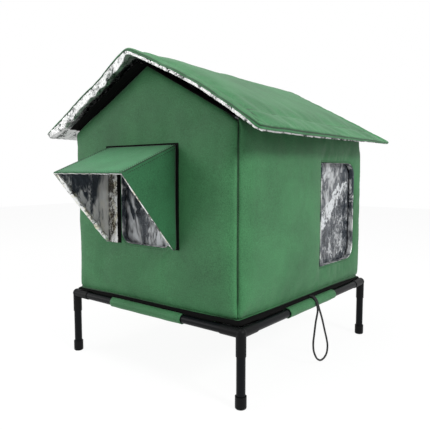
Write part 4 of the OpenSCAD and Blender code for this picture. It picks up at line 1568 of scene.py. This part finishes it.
class CATHOUSE_OT_awning(Operator):
    """Stiffened cloth hood over the front door, lined with foil"""

    bl_idname = "cathouse.awning"
    bl_label = "Awning"

    cloth_t = 1.7 * MM
    corner_r = 3.5 * MM
    # Where the cheeks' lower edges leave the wall, and the cheeks' height and the top's thickness at the tip
    tail = 8 * MM
    tip_h = 3.2 * MM
    tip_t = 2.15 * MM

    def execute(self, context):
        low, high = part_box("awning_top")
        self.low_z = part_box("awning_cheek_left")[0].z
        self.x0, self.x1 = low.x, high.x
        self.y0, self.run = high.y, high.y - low.y
        self.z0, self.drop = high.z, high.z - low.z - self.tip_t
        cloth = self.hood("awning_cloth", 0.0, 0.0)
        edge = self.corner_r
        # Marks the cheeks, which the cloth's material paints darker: painted shade
        mark_points(cloth, "side", [v.co.x < self.x0 + edge or v.co.x > self.x1 - edge for v in cloth.data.vertices])
        outward(thicken(cloth, self.cloth_t))
        finish_piece(cloth, "awning_hood", "green_cloth", "awning cloth", "awning_top", "awning_cheek_left",
                     "awning_cheek_right")
        foil = self.hood("awning_foil", self.cloth_t + 0.3 * MM, 1.4 * MM)
        self.mark_band(foil)
        crumple(foil, 2.2 * MM, 24 * MM, 11.0)
        outward(thicken(foil, 0.4 * MM))
        finish_piece(foil, "awning_hood", "foil_lining", "hood foil", "awning_lining")
        self.foil_rolls()
        self.flanges()
        self.seams(cloth)
        return {"FINISHED"}

    def y_at(self, t):
        """Y at a share of the way from the wall, 0, to the front edge, 1."""
        return self.y0 - self.run * t

    def top_z(self, t):
        return self.z0 - self.drop * t

    def bottom_z(self, t):
        past = max(0.0, t * self.run - self.tail) / (self.run - self.tail)
        return self.low_z + (self.top_z(1) - self.tip_h - self.low_z) * past

    def hood(self, name, inset_by, longer):
        """One sheet: up the left cheek, over the top and down the right cheek, row by row from the wall."""
        start = self.tail / self.run
        stations = [0] + [start + (1 - start) * i / 22 for i in range(23)]
        if longer:
            stations[-1] += longer / self.run
        left, right = self.x0 + inset_by, self.x1 - inset_by
        vertices = []
        for t in stations:
            top = self.top_z(t) - inset_by
            bottom = min(self.bottom_z(min(t, 1)) - longer * 0.8, top - 0.8 * MM)
            r = min(self.corner_r, (top - bottom) * 0.5)
            rise = [(bottom + (top - r - bottom) * i / 12) for i in range(13)]
            bend = [(r - r * math.cos(a), top - r + r * math.sin(a)) for a in (0.5, 1.0)]
            line = [(left, z) for z in rise] + [(left + out, z) for out, z in bend]
            line += [(left + r + (right - left - 2 * r) * i / 20, top) for i in range(21)]
            line += [(right - out, z) for out, z in reversed(bend)] + [(right, z) for z in reversed(rise)]
            vertices += [self.soften(x, self.y_at(t), z, t) for x, z in line]
        faces = [face[:1] + face[:0:-1] for face in grid_faces(len(stations), len(line))]
        return subdivide(new_object(name, vertices, faces))

    def soften(self, x, y, z, t):
        """A slight sag of the top and bow of the cheeks."""
        across = (x - self.x0) / (self.x1 - self.x0)
        z -= 2.5 * MM * math.sin(math.pi * min(1, max(0, across))) * math.sin(math.pi * min(1, t))
        height = (z - self.low_z) / (self.z0 - self.low_z)
        bow = 1.5 * MM * math.sin(math.pi * min(1, max(0, height))) * (1 - t)
        bow += 0.8 * MM * noise.noise(Vector((x * 11, y * 11, z * 11)))
        if across < 0.1:
            x += bow
        elif across > 0.9:
            x -= bow
        return (x, y, z)

    def mark_band(self, foil):
        """Marks how near a point is to the foil's free edges, where the foil is crumpled and its material paints it
        brighter: a painted highlight.
        """
        values = []
        for vertex in foil.data.vertices:
            x, y, z = vertex.co
            t = min(1, max(0, (self.y0 - y) / self.run))
            left = smooth_step(0.5 - x / (60 * MM))
            off = min((1 - t) * 160 * MM, (z - self.bottom_z(t)) * 0.7)
            values.append(min(1.0, max(0.0, 0.5 + ((5 + 8 * left) * MM - off) / BAND_REACH)))
        mark_points(foil, "band", values)

    def foil_rolls(self):
        """The foil's hem along both cheeks' free edges: a loose, crumpled roll inside the cloth."""
        rolls = []
        sides, stations = 10, 60
        for x, off, thick in ((self.x0, 7.5 * MM, 6.2 * MM), (self.x1, -4.2 * MM, 2.4 * MM)):
            path = [Vector((x + off, self.y_at(t), self.bottom_z(t) + 0.7 * thick))
                    for t in np.linspace(self.tail / self.run, 0.965, stations)]
            roll = bead("roll", path, 1.0, sides)
            points = coordinates(roll)
            for i, point in enumerate(points):
                row = i // sides
                way = Vector(point) - path[row]
                spot = path[row] * 75 + way * 1.2
                size = thick * min(1.0, 0.35 + row / 5, 0.3 + (stations - 1 - row) / 12)
                size *= 1 + 0.45 * noise.noise(spot) + 0.25 * noise.noise(spot * 2.7)
                points[i] = path[row] + way.normalized() * size
            set_coordinates(roll, points)
            rolls.append(roll)
        obj = subdivide(join(rolls, "awning_foil_rolls"))
        finish_piece(outward(obj), "awning_hood", "foil_lining", "foil roll")

    def flanges(self):
        """Foil-faced edges along the wall, round the doorway."""
        low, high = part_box("awning_flanges")
        wide, narrow, top = 35 * MM, 10 * MM, 20 * MM
        ring = [(low.x, low.z), (low.x + wide, low.z), (low.x + wide, high.z - top), (high.x - narrow, high.z - top),
                (high.x - narrow, low.z), (high.x, low.z), (high.x, high.z), (low.x, high.z)]
        flat, faces, _, _ = cloth_net(refine(ring, 6 * MM), step=7 * MM)
        obj = new_object("awning_edges", [(x, low.y + 0.5 * MM, z) for x, z in flat], faces)
        near_door = line_distance(flat, [ring[1:5]], False)
        # Marks the foil round the doorway, which its material paints brighter: painted light
        mark_points(obj, "band", np.clip(0.5 + (13 * MM - near_door) / BAND_REACH, 0, 1))
        crumple(obj, 1.6 * MM, 13 * MM, 15.0, (0, -1, 0))
        thicken(obj, 0.5 * MM)
        finish_piece(outward(obj), "awning_hood", "foil_lining", "foil edge", "awning_flanges")

    def seams(self, cloth):
        """Beaded seams along the top's two sides, with rows of stitches beside them, and one at the front."""

        def top_row(x, low, high, count, down=0.0):
            return [(x, self.y_at(t), self.top_z(t) - down) for t in np.linspace(low, high, count)]

        beads, rows = [], []
        for x, side in ((self.x0, 1), (self.x1, -1)):
            inner = 0.35 * self.corner_r
            beads.append(bead("bead", top_row(x + side * inner, 0.01, 0.99, 30, inner), 1.3 * MM))
            for inward in (3.5 * MM, 10 * MM):
                rows.append(on_surface(top_row(x + side * inward, 0.02, 0.98, 60), cloth, (0, 0, -1)))
            rows.append(on_surface(top_row(x, 0.02, 0.90, 60, 8 * MM), cloth, (side, 0, 0), 0.02))
        t = 0.965
        front = [(x, self.y_at(t), self.top_z(t)) for x in np.linspace(self.x0 + 8 * MM, self.x1 - 8 * MM, 90)]
        rows.append(on_surface(front, cloth, (0, 0, -1)))
        finish_piece(join(beads, "awning_beads"), "awning_hood", "green_cloth", "thread")
        # Their thread is painted darker: painted shade in the seams' grooves
        stitches("awning_stitches", [row for row in rows if len(row) > 1], "awning_hood", "awning thread")


# ---- Fastening tape ----


class CATHOUSE_OT_tapes(Operator):
    """Black fastening tape on the gables and round the front door"""

    bl_idname = "cathouse.tapes"
    bl_label = "Fastening tape"

    def execute(self, context):
        dress("tape", "gable_hook_tape", "door_hook_tape", "front_curtain_strip", "side_curtain_strip")
        return {"FINISHED"}


# ---- Door curtains ----


class CATHOUSE_OT_curtains(Operator):
    """Clear film that hangs inside each doorway"""

    bl_idname = "cathouse.curtains"
    bl_label = "Door curtains"

    film_t = 0.5 * MM
    ripple = 3 * MM

    def execute(self, context):
        self.curtain("front_curtain", "front film", "front_door_curtain", 0, 1, "front_curtain_strip")
        self.curtain("side_curtain", "side film", "side_door_curtain", 1, -1, "side_curtain_strip")
        return {"FINISHED"}

    def curtain(self, node, finish, body, axis, inward, strip):
        low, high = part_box(node)
        other = 1 - axis
        face = (low[other] + high[other]) / 2
        columns, rows = 26, 30
        vertices = []
        for j in range(rows + 1):
            down = j / rows
            for i in range(columns + 1):
                place = [0.0, 0.0, high.z + (low.z - high.z) * down]
                place[axis] = low[axis] + (high[axis] - low[axis]) * i / columns
                wave = noise.noise(Vector((i * 0.22, j * 0.07, 3.0 * axis))) * 0.5 + 0.5
                place[other] = face + inward * self.ripple * wave * down ** 0.6
                vertices.append(place)
        obj = new_object(node + "_film", vertices, grid_faces(rows + 1, columns + 1))
        thicken(subdivide(obj), self.film_t, 0.0)
        finish_piece(outward(obj), body, "clear_film", finish, node)


# ---- Panel and run ----

OPERATORS = (
    CATHOUSE_OT_stage, CATHOUSE_OT_tether, CATHOUSE_OT_stand, CATHOUSE_OT_base, CATHOUSE_OT_walls,
    CATHOUSE_OT_linings, CATHOUSE_OT_roof, CATHOUSE_OT_awning, CATHOUSE_OT_tapes, CATHOUSE_OT_curtains,
)


class CATHOUSE_PT_looks(Panel):
    """Lists the house's pieces and settings"""

    bl_idname = "CATHOUSE_PT_looks"
    bl_label = "Cat House"
    bl_space_type = "VIEW_3D"
    bl_region_type = "UI"
    bl_category = "Cat House"

    def draw(self, context):
        for name in CatHouseLooks.__annotations__:
            self.layout.prop(context.scene.cat_house, name)
        for kind in OPERATORS:
            self.layout.operator(kind.bl_idname)


CLASSES = (CatHouseLooks, *OPERATORS, CATHOUSE_PT_looks)


def register():
    for kind in CLASSES:
        bpy.utils.register_class(kind)
    bpy.types.Scene.cat_house = PointerProperty(type=CatHouseLooks)


def unregister():
    del bpy.types.Scene.cat_house
    for kind in reversed(CLASSES):
        bpy.utils.unregister_class(kind)


def main():
    register()
    for kind in OPERATORS:
        group, name = kind.bl_idname.split(".")
        getattr(getattr(bpy.ops, group), name)()


if __name__ == "__main__":
    main()
